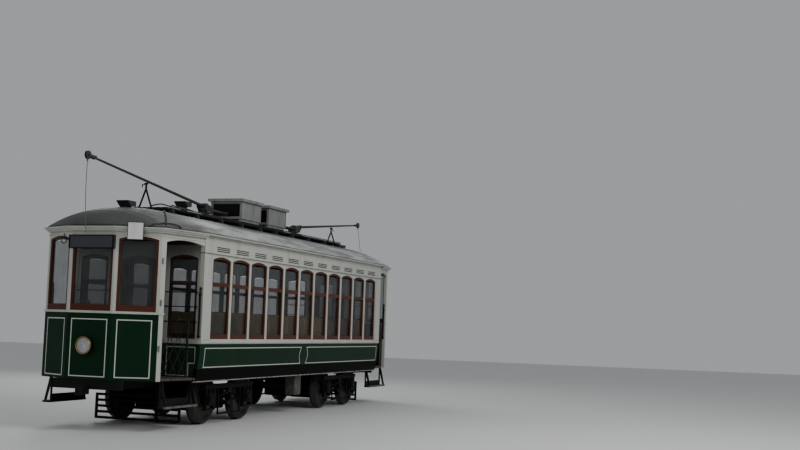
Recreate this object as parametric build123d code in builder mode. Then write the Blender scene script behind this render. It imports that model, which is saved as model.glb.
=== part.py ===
from build123d import *
import os
from math import atan2, cos, degrees, hypot, radians, sin

# A double-ended, double-bogie electric tram with a wooden body.
# Millimetres. +X is the front end, +Y the left side, +Z up.
# The origin is on the ground under the middle of the car, level with the wheel flanges.

# Fits between pieces, and how far one form runs into another that it is made in one with
seat_gap = 0.3
running_gap = 0.08
sash_fit = 0.4
lap = 5

# Wheels and axles
tread_r = 381
flange_height = 22
flange_width = 30
wheel_back_to_back = 1360
tyre_width = 110
tread_taper = 4
rim_depth = 61
web_thickness = 30
web_inset = 35
hub_r = 130
hub_reach = 125
hub_back_reach = 15
axle_r = 62
journal_r = 45
journal_length = 118
axle_z = tread_r + flange_height
wheel_back_y = wheel_back_to_back / 2
hub_front_y = wheel_back_y + hub_reach

# Body: lengths along and across
saloon_half = 3910
half_width = 1150
platform_length = 845
corner_post_length = 96
corner_turn_in = 176
nose_depth = 289
nose_y = 376
wall = 60
post_half = saloon_half + platform_length
corner_x = post_half + corner_post_length
corner_y = half_width - corner_turn_in
nose_x = corner_x + nose_depth

# Body: heights, each one from the one under it
sill_z = 700
dado_z = sill_z + 205
belt_z = dado_z + 380
window_z = belt_z + 75
window_crown_z = window_z + 1280
window_rise = 50
window_spring_z = window_crown_z - window_rise
wall_top_z = window_crown_z + 255
cornice_top_z = wall_top_z + 65
saloon_floor_z = dado_z
floor_thickness = 35
floor_bottom_z = saloon_floor_z - floor_thickness
platform_floor_z = saloon_floor_z - 130
platform_bottom_z = platform_floor_z - floor_thickness
dash_top_z = belt_z + 415
end_window_z = dash_top_z + 35
end_crown_z = window_crown_z + 190
end_window_rise = 45
end_spring_z = end_crown_z - end_window_rise
door_crown_z = end_crown_z - 8
door_head_rise = 52
door_spring_z = door_crown_z - door_head_rise

# Bogies
bogie_x = saloon_half - 1510
wheelbase = 1300
swivel_play_z = sill_z - 60
side_bar_top_z = swivel_play_z
side_bar_height = 75
side_bar_width = 60
side_bar_overrun = 190
side_bar_z = side_bar_top_z - side_bar_height
axlebox_width = 210
axlebox_height = 190
axlebox_depth = 125
axlebox_inner_y = hub_front_y + 12
axlebox_outer_y = axlebox_inner_y + axlebox_depth
pedestal_width = 45
pedestal_bottom_z = axle_z - 175
tie_bar_height = 30
transom_from_axle = 520
transom_x = wheelbase / 2 - transom_from_axle
transom_width = 70
transom_z = swivel_play_z - 135
transom_height = 90
centre_plate_r = 150
centre_pin_r = 35
centre_pin_height = 40
motor_axle_gap = 33
motor_length = wheelbase / 2 - axle_r - motor_axle_gap - transom_x - transom_width / 2
motor_width = 1020
motor_bottom_z = axle_z - 213
motor_top_z = transom_z + transom_height - 5

# Side windows
window_count = 11
end_pier = 258
pillar_width = 70
window_pitch = 2 * (saloon_half - end_pier) / window_count
window_width = window_pitch - pillar_width
stile = 40
bottom_rail = 75
top_rail = 42
head_drop = 18
mid_rail_z = window_z + 816
mid_rail_height = 62
sash_thickness = 30
sash_recess = 8
glass_thickness = 5
pane_margin = 20

# Sides: how far the wall stands in at the bottom of the dado and of the rocker
dado_turn_in = 27
dado_bulge = 0.3
rocker_turn_in = 85
rocker_thickness = 30
rocker_bulge = 8
rocker_top_y = half_width - dado_turn_in
rocker_foot_y = half_width - rocker_turn_in

# Roof
roof_overhang = 85
roof_rise = 385
roof_skin = 35
roof_edge = 20
crown_z = cornice_top_z + roof_rise
cornice_round = 120
cornice_depth = 120
cornice_lip = 15
lip_bottom_z = cornice_top_z - cornice_lip

# Roof gear
board_half = 330
board_z = crown_z + 40
board_thickness = 25
board_top_z = board_z + board_thickness
board_length = saloon_half - 260
resistor_half = 310
resistor_height = 380
lid_thickness = 50
lid_overhang = 45
resistor_spans = [(330, 1100), (-770, 0)]

# Trolley gear
swivel_x = resistor_spans[0][1] + 750
pole_foot_x = swivel_x + 150
pole_foot_z = board_top_z + 205
pole_tip_x = nose_x + 260
pole_tip_z = pole_foot_z + 360
pole_foot_r = 27
pole_tip_r = 17
stand_x = saloon_half - 110
trolley_wheel_r = 62
trolley_wheel_width = 38
wheel_pin_r = 9
harp_cheek = 7


def arch_outline(centre, width, bottom, spring, crown):
    # a rectangle with a round head, added to the sketch that is open
    left = centre - width / 2
    right = centre + width / 2
    with BuildLine() as outline:
        Polyline((left, spring), (left, bottom), (right, bottom), (right, spring))
        ThreePointArc((right, spring), (centre, crown), (left, spring))
    make_face(outline.edges())


def box_between(low, high):
    # a block between two corners
    sizes = [b - a for a, b in zip(low, high)]
    middle = [(a + b) / 2 for a, b in zip(low, high)]
    with BuildPart() as block:
        with Locations(tuple(middle)):
            Box(*sizes)
    return block.part


def rod(start, end, radius):
    # a round bar between two points
    run = Vector(*end) - Vector(*start)
    with BuildPart() as bar:
        with BuildSketch(Plane(origin=start, z_dir=run.normalized())):
            Circle(radius)
        extrude(amount=run.length)
    return bar.part


def across(y):
    # a plane whose sketch reads X and Z, standing at this Y, that extrudes towards -Y
    return Plane.XZ.offset(-y)


def along(x):
    # a plane whose sketch reads Y and Z, standing at this X, that extrudes towards +X
    return Plane.YZ.offset(x)


def inset_line(start, end, distance):
    # the line through two plan points, moved to its left by a distance
    run_x = end[0] - start[0]
    run_y = end[1] - start[1]
    length = hypot(run_x, run_y)
    shift_x = -run_y / length * distance
    shift_y = run_x / length * distance
    return (start[0] + shift_x, start[1] + shift_y), (end[0] + shift_x, end[1] + shift_y)


def crossing(first, second):
    # where two plan lines meet
    (ax, ay), (bx, by) = first
    (cx, cy), (dx, dy) = second
    cross = (bx - ax) * (dy - cy) - (by - ay) * (dx - cx)
    share = ((cx - ax) * (dy - cy) - (cy - ay) * (dx - cx)) / cross
    return ax + share * (bx - ax), ay + share * (by - ay)


# Plan of a platform, from the saloon corner round the nose: x, y
platform_plan = [
    (saloon_half, half_width),
    (corner_x, corner_y),
    (nose_x, nose_y),
    (nose_x, -nose_y),
    (corner_x, -corner_y),
    (saloon_half, -half_width),
]


def platform_outline(inset, back_x):
    # the platform's plan, moved in all round (or out, where inset is negative), cut off at back_x
    sides = [
        inset_line(platform_plan[i + 1], platform_plan[i], inset)
        for i in range(len(platform_plan) - 1)
    ]
    corners = [crossing(sides[i], sides[i + 1]) for i in range(len(sides) - 1)]
    back = ((back_x, -1.0), (back_x, 1.0))
    return [crossing(back, sides[0])] + corners + [crossing(back, sides[-1])]


def both_ends(outline):
    # a platform's outline joined to its mirror image at the other end of the car
    return outline + [(-x, y) for x, y in reversed(outline)]


def facet_plane(start, end, z):
    # stands on the outside of a facet, its sketch reading along the facet and up
    middle = ((start[0] + end[0]) / 2, (start[1] + end[1]) / 2, z)
    run = Vector(end[0] - start[0], end[1] - start[1], 0).normalized()
    outwards = Vector(run.Y, -run.X, 0)
    return Plane(origin=middle, x_dir=run, z_dir=outwards)


def window_centres():
    return [(i - (window_count - 1) / 2) * window_pitch for i in range(window_count)]


def turned_half_round(shape):
    # the same piece at the other end and side of the car
    return shape.rotate(Axis.Z, 180)


def group(*shapes):
    # several solids in one piece, left apart
    return Compound(children=[solid for shape in shapes for solid in shape.solids()])


def mirrored(shape, plane):
    # every solid of a piece, mirrored
    return group(*[solid.mirror(plane) for solid in shape.solids()])


pieces = {}

# Underframe: timbers that butt against one another, the platform knees and the buffer beams
sill_width = 70
sill_outer_y = rocker_foot_y - rocker_thickness - 5
sill_y = sill_outer_y - sill_width
bulkhead_x = saloon_half - 60
longitudinal_y = 255
longitudinal_width = 90
longitudinal_outer_y = longitudinal_y + longitudinal_width
end_beam_width = 80
bolster_width = 300
# Cross members: x, width along the car, height
cross_members = [
    (bogie_x + wheelbase / 2, 70, 50),
    (bogie_x - wheelbase / 2, 70, 50),
    (1050, 70, floor_bottom_z - sill_z),
    (350, 70, floor_bottom_z - sill_z),
]
knee_y = 300
knee_width = 80
knee_length = 700
knee_z = sill_z - 100
knee_end_x = nose_x - wall - 20
buffer_beam_width = 50
buffer_beam_half = knee_y + 280

beams = []
for side in (1, -1):
    ys = sorted((side * sill_y, side * sill_outer_y))
    beams.append(box_between((-bulkhead_x, ys[0], sill_z), (bulkhead_x, ys[1], floor_bottom_z)))
    ys = sorted((side * longitudinal_y, side * longitudinal_outer_y))
    bolster_inner_x = bogie_x - bolster_width / 2
    bolster_outer_x = bogie_x + bolster_width / 2
    end_beam_x = bulkhead_x - end_beam_width
    for near, far in (
        (-end_beam_x, -bolster_outer_x),
        (-bolster_inner_x, bolster_inner_x),
        (bolster_outer_x, end_beam_x),
    ):
        beams.append(box_between((near, ys[0], sill_z), (far, ys[1], floor_bottom_z)))
    xs = sorted((side * end_beam_x, side * bulkhead_x))
    beams.append(box_between((xs[0], -sill_y, sill_z), (xs[1], sill_y, floor_bottom_z)))
    for x, width, height in cross_members:
        for near, far in (
            (-sill_y, -longitudinal_outer_y),
            (-longitudinal_y, longitudinal_y),
            (longitudinal_outer_y, sill_y),
        ):
            low = (side * x - width / 2, near, floor_bottom_z - height)
            beams.append(box_between(low, (side * x + width / 2, far, floor_bottom_z)))
    xs = sorted((side * knee_end_x, side * (knee_end_x + buffer_beam_width)))
    low = (xs[0], -buffer_beam_half, knee_z)
    beams.append(box_between(low, (xs[1], buffer_beam_half, platform_bottom_z)))

with BuildPart() as bolsters:
    with BuildSketch(Plane.XY.offset(sill_z)):
        with Locations((bogie_x, 0)):
            Rectangle(bolster_width, 2 * sill_y)
    extrude(amount=floor_bottom_z - sill_z)
    with BuildSketch(Plane.XY.offset(swivel_play_z)):
        with Locations((bogie_x, 0)):
            Circle(centre_plate_r)
    extrude(amount=sill_z - swivel_play_z + 1)
    with BuildSketch(Plane.XY.offset(swivel_play_z)):
        with Locations((bogie_x, 0)):
            Circle(centre_pin_r + running_gap)
    extrude(amount=centre_pin_height + lap, mode=Mode.SUBTRACT)
    mirror(about=Plane.YZ)

with BuildPart() as knees:
    for y in (knee_y + knee_width / 2, -knee_y + knee_width / 2):
        with BuildSketch(across(y)):
            Polygon(
                (bulkhead_x - knee_length, sill_z),
                (bulkhead_x - knee_length, sill_z - 30),
                (bulkhead_x - 200, knee_z),
                (knee_end_x, knee_z),
                (knee_end_x, platform_bottom_z),
                (bulkhead_x + 1, platform_bottom_z),
                (bulkhead_x + 1, sill_z),
                align=None,
            )
        extrude(amount=knee_width)
    mirror(about=Plane.YZ)

pieces["underframe"] = group(*beams, bolsters.part, knees.part)

# Floors
with BuildPart() as saloon_floor:
    with BuildSketch(Plane.XY.offset(floor_bottom_z)):
        Rectangle(2 * (bulkhead_x - seat_gap), 2 * (rocker_top_y - wall - seat_gap))
    extrude(amount=floor_thickness)
pieces["saloon_floor"] = saloon_floor.part

with BuildPart() as platform_floors:
    with BuildSketch(Plane.XY.offset(platform_bottom_z)):
        Polygon(*platform_outline(wall + seat_gap, saloon_half + 1), align=None)
        with Locations(((bulkhead_x + saloon_half) / 2 + 1, 0)):
            Rectangle(saloon_half - bulkhead_x, 2 * sill_outer_y)
    extrude(amount=floor_thickness)
    mirror(about=Plane.YZ)
pieces["platform_floors"] = platform_floors.part

# Side frames: posts, belt rail and letterboard in one framed wall, windows cut
belt_height = 60
bead_z = window_crown_z + 15
bead_height = 24
# Mouldings along the side: bottom, height, how proud
side_mouldings = [(belt_z, belt_height, 16), (bead_z, bead_height, 12)]
pilaster_width = 274
pilaster_proud = 12
# The letterboard stands proud of the posts, from the bead up to the lip of the cornice
letterboard_z = bead_z + bead_height
letterboard_proud = 14
# Ventilation slots over each window
slot_rows = 3
slot_pitch = 29
slot_height = 14
slot_length = 430
slot_depth = 12
slot_z = window_crown_z + 85
with BuildPart() as side_frame_left:
    with BuildSketch(across(half_width)):
        with Locations((0, (belt_z + wall_top_z) / 2)):
            Rectangle(2 * saloon_half, wall_top_z - belt_z)
    extrude(amount=wall)
    for low, height, proud in side_mouldings:
        with BuildSketch(along(-saloon_half)):
            with BuildLine():
                Polyline(
                    (half_width, low + height),
                    (half_width - lap, low + height),
                    (half_width - lap, low),
                    (half_width, low),
                )
                ThreePointArc(
                    (half_width, low),
                    (half_width + proud, low + height / 2),
                    (half_width, low + height),
                )
            make_face()
        extrude(amount=2 * saloon_half)
    with BuildSketch(across(half_width + pilaster_proud)):
        for x in (saloon_half - pilaster_width / 2, pilaster_width / 2 - saloon_half):
            with Locations((x, (belt_z + belt_height + bead_z) / 2)):
                Rectangle(pilaster_width, bead_z - belt_z - belt_height + 2)
    extrude(amount=pilaster_proud + lap)
    with BuildSketch(across(half_width + pilaster_proud + lap)):
        for x in window_centres():
            arch_outline(x, window_width, window_z, window_spring_z, window_crown_z)
    extrude(amount=wall + pilaster_proud + 2 * lap, mode=Mode.SUBTRACT)
    with BuildSketch(across(half_width + letterboard_proud)):
        with Locations((0, (letterboard_z + lip_bottom_z) / 2)):
            Rectangle(2 * saloon_half, lip_bottom_z - letterboard_z)
    extrude(amount=letterboard_proud + lap)
    with BuildSketch(across(half_width + letterboard_proud)):
        for x in window_centres():
            for row in range(slot_rows):
                with Locations((x, slot_z + row * slot_pitch)):
                    Rectangle(slot_length, slot_height)
    extrude(amount=slot_depth, mode=Mode.SUBTRACT)
pieces["side_frame_left"] = side_frame_left.part
pieces["side_frame_right"] = side_frame_left.part.mirror(Plane.XZ)

# Dado panels: their faces turn in towards the rocker
with BuildPart() as dado_left:
    with BuildSketch(along(-saloon_half)):
        with BuildLine():
            ThreePointArc(
                (half_width, belt_z),
                (half_width - dado_turn_in * dado_bulge, (belt_z + dado_z) / 2),
                (rocker_top_y, dado_z),
            )
            Polyline(
                (rocker_top_y, dado_z),
                (rocker_top_y - wall, dado_z),
                (half_width - wall, belt_z),
                (half_width, belt_z),
            )
        make_face()
    extrude(amount=2 * saloon_half)
pieces["dado_left"] = dado_left.part
pieces["dado_right"] = dado_left.part.mirror(Plane.XZ)

# Rocker panels along the bottom of both sides, with a bead along their foot
rocker_bead_r = 9
with BuildPart() as rocker_panels:
    with BuildSketch(along(-saloon_half)):
        with BuildLine():
            ThreePointArc(
                (rocker_top_y, dado_z),
                ((rocker_top_y + rocker_foot_y) / 2 + rocker_bulge, (dado_z + sill_z) / 2),
                (rocker_foot_y, sill_z),
            )
            Polyline(
                (rocker_foot_y, sill_z),
                (rocker_foot_y - rocker_thickness, sill_z),
                (rocker_top_y - rocker_thickness, dado_z),
                (rocker_top_y, dado_z),
            )
        make_face()
        with Locations((rocker_foot_y, sill_z + rocker_bead_r)):
            Circle(rocker_bead_r)
    extrude(amount=2 * saloon_half)
    mirror(about=Plane.XZ)
pieces["rocker_panels"] = rocker_panels.part

# Side sashes: a lower and an upper light in each window
lower_light_z = window_z + bottom_rail
upper_light_z = mid_rail_z + mid_rail_height
side_light_width = window_width - 2 * stile
with BuildPart() as side_sashes_left:
    with BuildSketch(across(half_width - sash_recess)):
        for x in window_centres():
            arch_outline(
                x,
                window_width - 2 * sash_fit,
                window_z + sash_fit,
                window_spring_z - sash_fit,
                window_crown_z - sash_fit,
            )
    extrude(amount=sash_thickness)
    with BuildSketch(across(half_width)):
        for x in window_centres():
            with Locations((x, (lower_light_z + mid_rail_z) / 2)):
                Rectangle(side_light_width, mid_rail_z - lower_light_z)
            arch_outline(
                x,
                side_light_width,
                upper_light_z,
                window_spring_z - head_drop,
                window_crown_z - top_rail,
            )
    extrude(amount=wall, mode=Mode.SUBTRACT)
pieces["side_sashes_left"] = side_sashes_left.part
pieces["side_sashes_right"] = side_sashes_left.part.mirror(Plane.XZ)

# Bulkheads: a framed wall with a doorway and two windows
bulkhead_thickness = 45
bulkhead_face_x = bulkhead_x + bulkhead_thickness
bulkhead_half = half_width - wall - seat_gap
bulkhead_spring_z = wall_top_z + 120
bulkhead_crown_gap = 12
doorway_half = 330
doorway_top_z = window_crown_z - 20
door_crown_rise = 60
doorway_spring_z = doorway_top_z - door_crown_rise
bulkhead_window_inner_y = doorway_half + 225
bulkhead_window_outer_y = bulkhead_half - 45
bulkhead_window_y = (bulkhead_window_inner_y + bulkhead_window_outer_y) / 2
bulkhead_window_width = bulkhead_window_outer_y - bulkhead_window_inner_y
bulkhead_belt_proud = 10
door_thickness = 35
door_running_gap = 6
door_overlap = 30
door_travel = 600
door_hanger_y = 250
door_hanger_width = 70
door_rail_z = doorway_top_z + 85
door_rail_height = 20
door_face_x = bulkhead_x - door_running_gap
door_back_x = door_face_x - door_thickness
with BuildPart() as bulkhead_front:
    with BuildSketch(along(bulkhead_x)):
        with BuildLine():
            Polyline(
                (-bulkhead_half, bulkhead_spring_z),
                (-bulkhead_half, belt_z),
                (-bulkhead_half + dado_turn_in, dado_z),
                (-sill_outer_y, platform_floor_z),
                (sill_outer_y, platform_floor_z),
                (bulkhead_half - dado_turn_in, dado_z),
                (bulkhead_half, belt_z),
                (bulkhead_half, bulkhead_spring_z),
            )
            ThreePointArc(
                (bulkhead_half, bulkhead_spring_z),
                (0, crown_z - roof_skin - bulkhead_crown_gap),
                (-bulkhead_half, bulkhead_spring_z),
            )
        make_face()
    extrude(amount=bulkhead_thickness)
    with BuildSketch(along(bulkhead_x)):
        with Locations((0, belt_z + belt_height / 2)):
            Rectangle(2 * bulkhead_half, belt_height)
    extrude(amount=bulkhead_thickness + bulkhead_belt_proud)
    with BuildSketch(along(bulkhead_x)):
        arch_outline(0, 2 * doorway_half, saloon_floor_z, doorway_spring_z, doorway_top_z)
        for y in (bulkhead_window_y, -bulkhead_window_y):
            arch_outline(y, bulkhead_window_width, window_z, window_spring_z, window_crown_z)
    extrude(amount=bulkhead_thickness + bulkhead_belt_proud, mode=Mode.SUBTRACT)
    # the rail that the sliding door hangs under
    with BuildSketch(along(door_back_x)):
        with Locations((door_travel / 2, door_rail_z + seat_gap + door_rail_height / 2)):
            Rectangle(door_travel + 2 * (door_hanger_y + door_hanger_width), door_rail_height)
    extrude(amount=bulkhead_x - door_back_x)
pieces["bulkhead_front"] = bulkhead_front.part
pieces["bulkhead_rear"] = bulkhead_front.part.mirror(Plane.YZ)

bulkhead_sash_x = bulkhead_x + 6
with BuildPart() as bulkhead_sashes:
    with BuildSketch(along(bulkhead_sash_x)):
        for y in (bulkhead_window_y, -bulkhead_window_y):
            arch_outline(
                y,
                bulkhead_window_width - 2 * sash_fit,
                window_z + sash_fit,
                window_spring_z - sash_fit,
                window_crown_z - sash_fit,
            )
    extrude(amount=sash_thickness)
    with BuildSketch(along(bulkhead_x)):
        for y in (bulkhead_window_y, -bulkhead_window_y):
            with Locations((y, (lower_light_z + mid_rail_z) / 2)):
                Rectangle(bulkhead_window_width - 2 * stile, mid_rail_z - lower_light_z)
            arch_outline(
                y,
                bulkhead_window_width - 2 * stile,
                upper_light_z,
                window_spring_z - head_drop,
                window_crown_z - top_rail,
            )
    extrude(amount=bulkhead_thickness, mode=Mode.SUBTRACT)
    mirror(about=Plane.YZ)
pieces["bulkhead_sashes"] = bulkhead_sashes.part

# Sliding doors, hung on the saloon side of the bulkheads
door_half = doorway_half + door_overlap
door_bottom_z = saloon_floor_z + 6
door_top_z = doorway_top_z + 60
door_light_half = 215
door_light_z = belt_z + 465
door_light_top_z = doorway_top_z - 100
door_light_rise = 40
with BuildPart() as saloon_door_front:
    with BuildSketch(along(door_back_x)):
        arch_outline(0, 2 * door_half, door_bottom_z, door_top_z - door_crown_rise, door_top_z)
        for y in (door_hanger_y, -door_hanger_y):
            with Locations((y, (doorway_top_z + door_rail_z) / 2)):
                Rectangle(door_hanger_width, door_rail_z - doorway_top_z)
    extrude(amount=door_thickness)
    with BuildSketch(along(door_back_x)):
        arch_outline(
            0, 2 * door_light_half, door_light_z, door_light_top_z - door_light_rise, door_light_top_z
        )
    extrude(amount=door_thickness, mode=Mode.SUBTRACT)
pieces["saloon_door_front"] = saloon_door_front.part
pieces["saloon_door_rear"] = saloon_door_front.part.mirror(Plane.YZ)

with BuildPart() as door_glass_front:
    with BuildSketch(along(door_face_x - door_thickness / 2 - glass_thickness / 2)):
        arch_outline(
            0,
            2 * door_light_half - 2 * sash_fit,
            door_light_z + sash_fit,
            door_light_top_z - door_light_rise - sash_fit,
            door_light_top_z - sash_fit,
        )
    extrude(amount=glass_thickness)
pieces["door_glass_front"] = door_glass_front.part
pieces["door_glass_rear"] = door_glass_front.part.mirror(Plane.YZ)

# End frames: corner posts, facet posts, sill and header round each platform
nose_post = 32
side_facet_window = 572
# Facets of the nose: start corner, end corner, window width
facets = [
    ((nose_x, -nose_y), (nose_x, nose_y), 2 * (nose_y - nose_post)),
    ((nose_x, nose_y), (corner_x, corner_y), side_facet_window),
    ((corner_x, -corner_y), (nose_x, -nose_y), side_facet_window),
]
frieze_z = end_crown_z + 12
frieze_height = 20
frieze_proud = 10
sill_bead_height = 30
sill_bead_proud = 14
end_bottom_rail = 90
with BuildPart() as end_frame_front:
    with BuildSketch(Plane.XY.offset(dash_top_z)):
        Polygon(*platform_outline(0, saloon_half), align=None)
        Polygon(*platform_outline(wall, saloon_half), align=None, mode=Mode.SUBTRACT)
    extrude(amount=wall_top_z - dash_top_z)
    with BuildSketch(Plane.XY.offset(frieze_z)):
        Polygon(*platform_outline(-frieze_proud, saloon_half), align=None)
        Polygon(*platform_outline(wall, saloon_half), align=None, mode=Mode.SUBTRACT)
    extrude(amount=frieze_height)
    with BuildSketch(across(half_width + lap)):
        with BuildLine():
            Polyline(
                (post_half, door_spring_z),
                (post_half, dash_top_z - 1),
                (saloon_half, dash_top_z - 1),
                (saloon_half, door_spring_z),
            )
            ThreePointArc(
                (saloon_half, door_spring_z),
                ((saloon_half + post_half) / 2, door_crown_z),
                (post_half, door_spring_z),
            )
        make_face()
    extrude(amount=2 * (half_width + lap), mode=Mode.SUBTRACT)
    with BuildSketch(Plane.XY.offset(dash_top_z)):
        Polygon(*platform_outline(-sill_bead_proud, post_half), align=None)
        Polygon(*platform_outline(wall, post_half - 1), align=None, mode=Mode.SUBTRACT)
    extrude(amount=sill_bead_height)
    with BuildSketch(Plane.XY.offset(platform_bottom_z)):
        Polygon(*platform_outline(0, post_half), align=None)
        Polygon(*platform_outline(wall, post_half - 1), align=None, mode=Mode.SUBTRACT)
        with Locations((corner_x + half_width, 0)):
            Rectangle(2 * half_width, 4 * half_width, mode=Mode.SUBTRACT)
    extrude(amount=dash_top_z - platform_bottom_z)
    for start, end, width in facets:
        with BuildSketch(facet_plane(start, end, 0).offset(sill_bead_proud + 1)):
            arch_outline(0, width, end_window_z, end_spring_z, end_crown_z)
        extrude(amount=-2 * wall, mode=Mode.SUBTRACT)
pieces["end_frame_front"] = end_frame_front.part
pieces["end_frame_rear"] = end_frame_front.part.mirror(Plane.YZ)

with BuildPart() as end_sashes:
    for start, end, width in facets:
        with BuildSketch(facet_plane(start, end, 0).offset(-sash_recess)):
            arch_outline(
                0,
                width - 2 * sash_fit,
                end_window_z + sash_fit,
                end_spring_z - sash_fit,
                end_crown_z - sash_fit,
            )
        extrude(amount=-sash_thickness)
        with BuildSketch(facet_plane(start, end, 0)):
            arch_outline(
                0,
                width - 2 * stile,
                end_window_z + end_bottom_rail,
                end_spring_z - head_drop,
                end_crown_z - top_rail,
            )
        extrude(amount=-wall, mode=Mode.SUBTRACT)
    mirror(about=Plane.YZ)
pieces["end_sashes"] = end_sashes.part

# Every fixed pane, seated on the back of its sash
with BuildPart() as window_glass:
    with BuildSketch(across(half_width - sash_recess - sash_thickness)):
        for x in window_centres():
            with Locations((x, (window_z + window_spring_z) / 2)):
                Rectangle(window_width - 2 * pane_margin, window_spring_z - window_z - 2 * pane_margin)
    extrude(amount=glass_thickness)
    mirror(about=Plane.XZ)
    with BuildSketch(along(bulkhead_sash_x + sash_thickness)):
        for y in (bulkhead_window_y, -bulkhead_window_y):
            with Locations((y, (window_z + window_spring_z) / 2)):
                Rectangle(
                    bulkhead_window_width - 2 * pane_margin, window_spring_z - window_z - 2 * pane_margin
                )
    extrude(amount=glass_thickness)
    for start, end, width in facets:
        with BuildSketch(facet_plane(start, end, 0).offset(-sash_recess - sash_thickness)):
            with Locations((0, (end_window_z + end_spring_z) / 2)):
                Rectangle(width - 2 * pane_margin, end_spring_z - end_window_z - 2 * pane_margin)
        extrude(amount=-glass_thickness)
    mirror(about=Plane.YZ)
pieces["window_glass"] = window_glass.part

# Dashes: the sheet fronts below the platform windows
with BuildPart() as dash_front:
    with BuildSketch(Plane.XY.offset(platform_bottom_z)):
        Polygon(*platform_outline(0, corner_x), align=None)
        Polygon(*platform_outline(wall, corner_x - 1), align=None, mode=Mode.SUBTRACT)
        with Locations((corner_x - half_width, 0)):
            Rectangle(2 * half_width, 4 * half_width, mode=Mode.SUBTRACT)
    extrude(amount=dash_top_z - platform_bottom_z)
pieces["dash_front"] = dash_front.part
pieces["dash_rear"] = dash_front.part.mirror(Plane.YZ)

# Cornice: the gutter that runs round the whole car under the roof, stepped at the platforms, and no more
# than its lip along the letterboards
# Steps: bottom and top, overhang
cornice_steps = [
    (wall_top_z, wall_top_z + 25, 45),
    (wall_top_z + 25, lip_bottom_z, 72),
    (lip_bottom_z, cornice_top_z, 95),
]
letterboard_inner_y = half_width - lap
cornice_inner = platform_outline(cornice_depth - cornice_steps[-1][2], saloon_half)
with BuildPart() as cornice:
    for low, high, overhang in cornice_steps:
        with BuildSketch(Plane.XY.offset(low)) as ring:
            Polygon(*both_ends(platform_outline(-overhang, saloon_half)), align=None)
            fillet(ring.vertices(), radius=cornice_round)
            Polygon(*both_ends(cornice_inner), align=None, mode=Mode.SUBTRACT)
        extrude(amount=high - low)
    with BuildSketch(Plane.XY.offset(wall_top_z - 1)):
        for side in (-1, 1):
            with Locations((0, side * (letterboard_inner_y + cornice_depth / 2))):
                Rectangle(2 * saloon_half, cornice_depth)
    extrude(amount=lip_bottom_z - wall_top_z + 1, mode=Mode.SUBTRACT)
pieces["cornice"] = cornice.part

# Roof: an arched shell over the saloon, domed down to the gutter at both ends
roof_plan = platform_outline(-roof_overhang, saloon_half)
roof_half = roof_plan[0][1]
roof_nose_x = roof_plan[2][0]
hood_length = roof_nose_x - saloon_half
hood_shares = [0, 0.2, 0.4, 0.55, 0.68, 0.79, 0.88, 0.94, 0.975, 0.993, 1]
hood_bend = 2.1
roof_trim = 2
hood_fullness = 0.4


def eaves_half(x):
    # half the roof's width at this X, from its plan
    for (near_x, near_y), (far_x, far_y) in zip(roof_plan[:2], roof_plan[1:3]):
        if x <= far_x + 1e-6:
            return near_y + (far_y - near_y) * (x - near_x) / (far_x - near_x)


def hood_rise(share):
    return max(roof_rise * (1 - share**hood_bend) ** hood_fullness, roof_edge)


def roof_body(inset):
    # the closed form under an arched surface that lies this far inside the roof's
    with BuildPart() as body:
        with BuildSketch(along(-saloon_half)):
            with BuildLine():
                ThreePointArc(
                    (-(roof_half - inset), cornice_top_z),
                    (0, crown_z - inset),
                    (roof_half - inset, cornice_top_z),
                )
                Line((roof_half - inset, cornice_top_z), (-(roof_half - inset), cornice_top_z))
            make_face()
        extrude(amount=2 * saloon_half)
        for share in hood_shares:
            half = eaves_half(saloon_half + share * hood_length) - inset
            rise = max(hood_rise(share) - inset, lap)
            with BuildSketch(along(saloon_half + share * (hood_length - inset))):
                with BuildLine():
                    ThreePointArc(
                        (-half, cornice_top_z), (0, cornice_top_z + rise), (half, cornice_top_z)
                    )
                    Line((half, cornice_top_z), (-half, cornice_top_z))
                make_face()
        loft(ruled=True)
        mirror(about=Plane.YZ)
    return body.part


roof_outer = roof_body(0)
roof_inner = roof_body(roof_skin)
with BuildPart() as roof_prism:
    with BuildSketch(Plane.XY.offset(cornice_top_z - lap)) as roof_outline:
        Polygon(*both_ends(platform_outline(roof_trim - roof_overhang, saloon_half)), align=None)
        fillet(roof_outline.vertices(), radius=cornice_round)
    extrude(amount=roof_rise + 2 * lap)
with BuildPart() as roof:
    add(roof_outer)
    add(roof_prism.part, mode=Mode.INTERSECT)
    add(roof_inner, mode=Mode.SUBTRACT)
pieces["roof"] = roof.part

# Trolley boards on brackets that stand on the roof
roof_arc_r = (roof_half**2 + roof_rise**2) / (2 * roof_rise)
bracket_shares = (0.09, 0.3, 0.51, 0.74, 0.96)
bracket_xs = [side * board_length * share for side in (-1, 1) for share in bracket_shares]
bracket_width = 50
bracket_bar = 30
bracket_foot = 90
bracket_foot_spread = 45
plank_ys = [-250, -125, 0, 125, 250]
plank_width = 100
with BuildPart() as roof_boards:
    for x in bracket_xs:
        with BuildSketch(along(x - bracket_width / 2)):
            with Locations((0, board_z - bracket_bar / 2)):
                Rectangle(2 * board_half, bracket_bar)
            for side in (1, -1):
                Polygon(
                    (side * (board_half - bracket_foot), board_z - 1),
                    (side * board_half, board_z - 1),
                    (side * (board_half + bracket_foot_spread), crown_z - bracket_foot),
                    (side * (board_half - bracket_bar), crown_z - bracket_foot),
                    align=None,
                )
        extrude(amount=bracket_width)
    with BuildSketch(along(-board_length)):
        with Locations((0, crown_z - roof_arc_r)):
            Circle(roof_arc_r + seat_gap)
    extrude(amount=2 * board_length, mode=Mode.SUBTRACT)
    with BuildSketch(Plane.XY.offset(board_z)):
        for y in plank_ys:
            with Locations((0, y)):
                Rectangle(2 * board_length, plank_width)
    extrude(amount=board_thickness)
pieces["roof_boards"] = roof_boards.part

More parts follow.
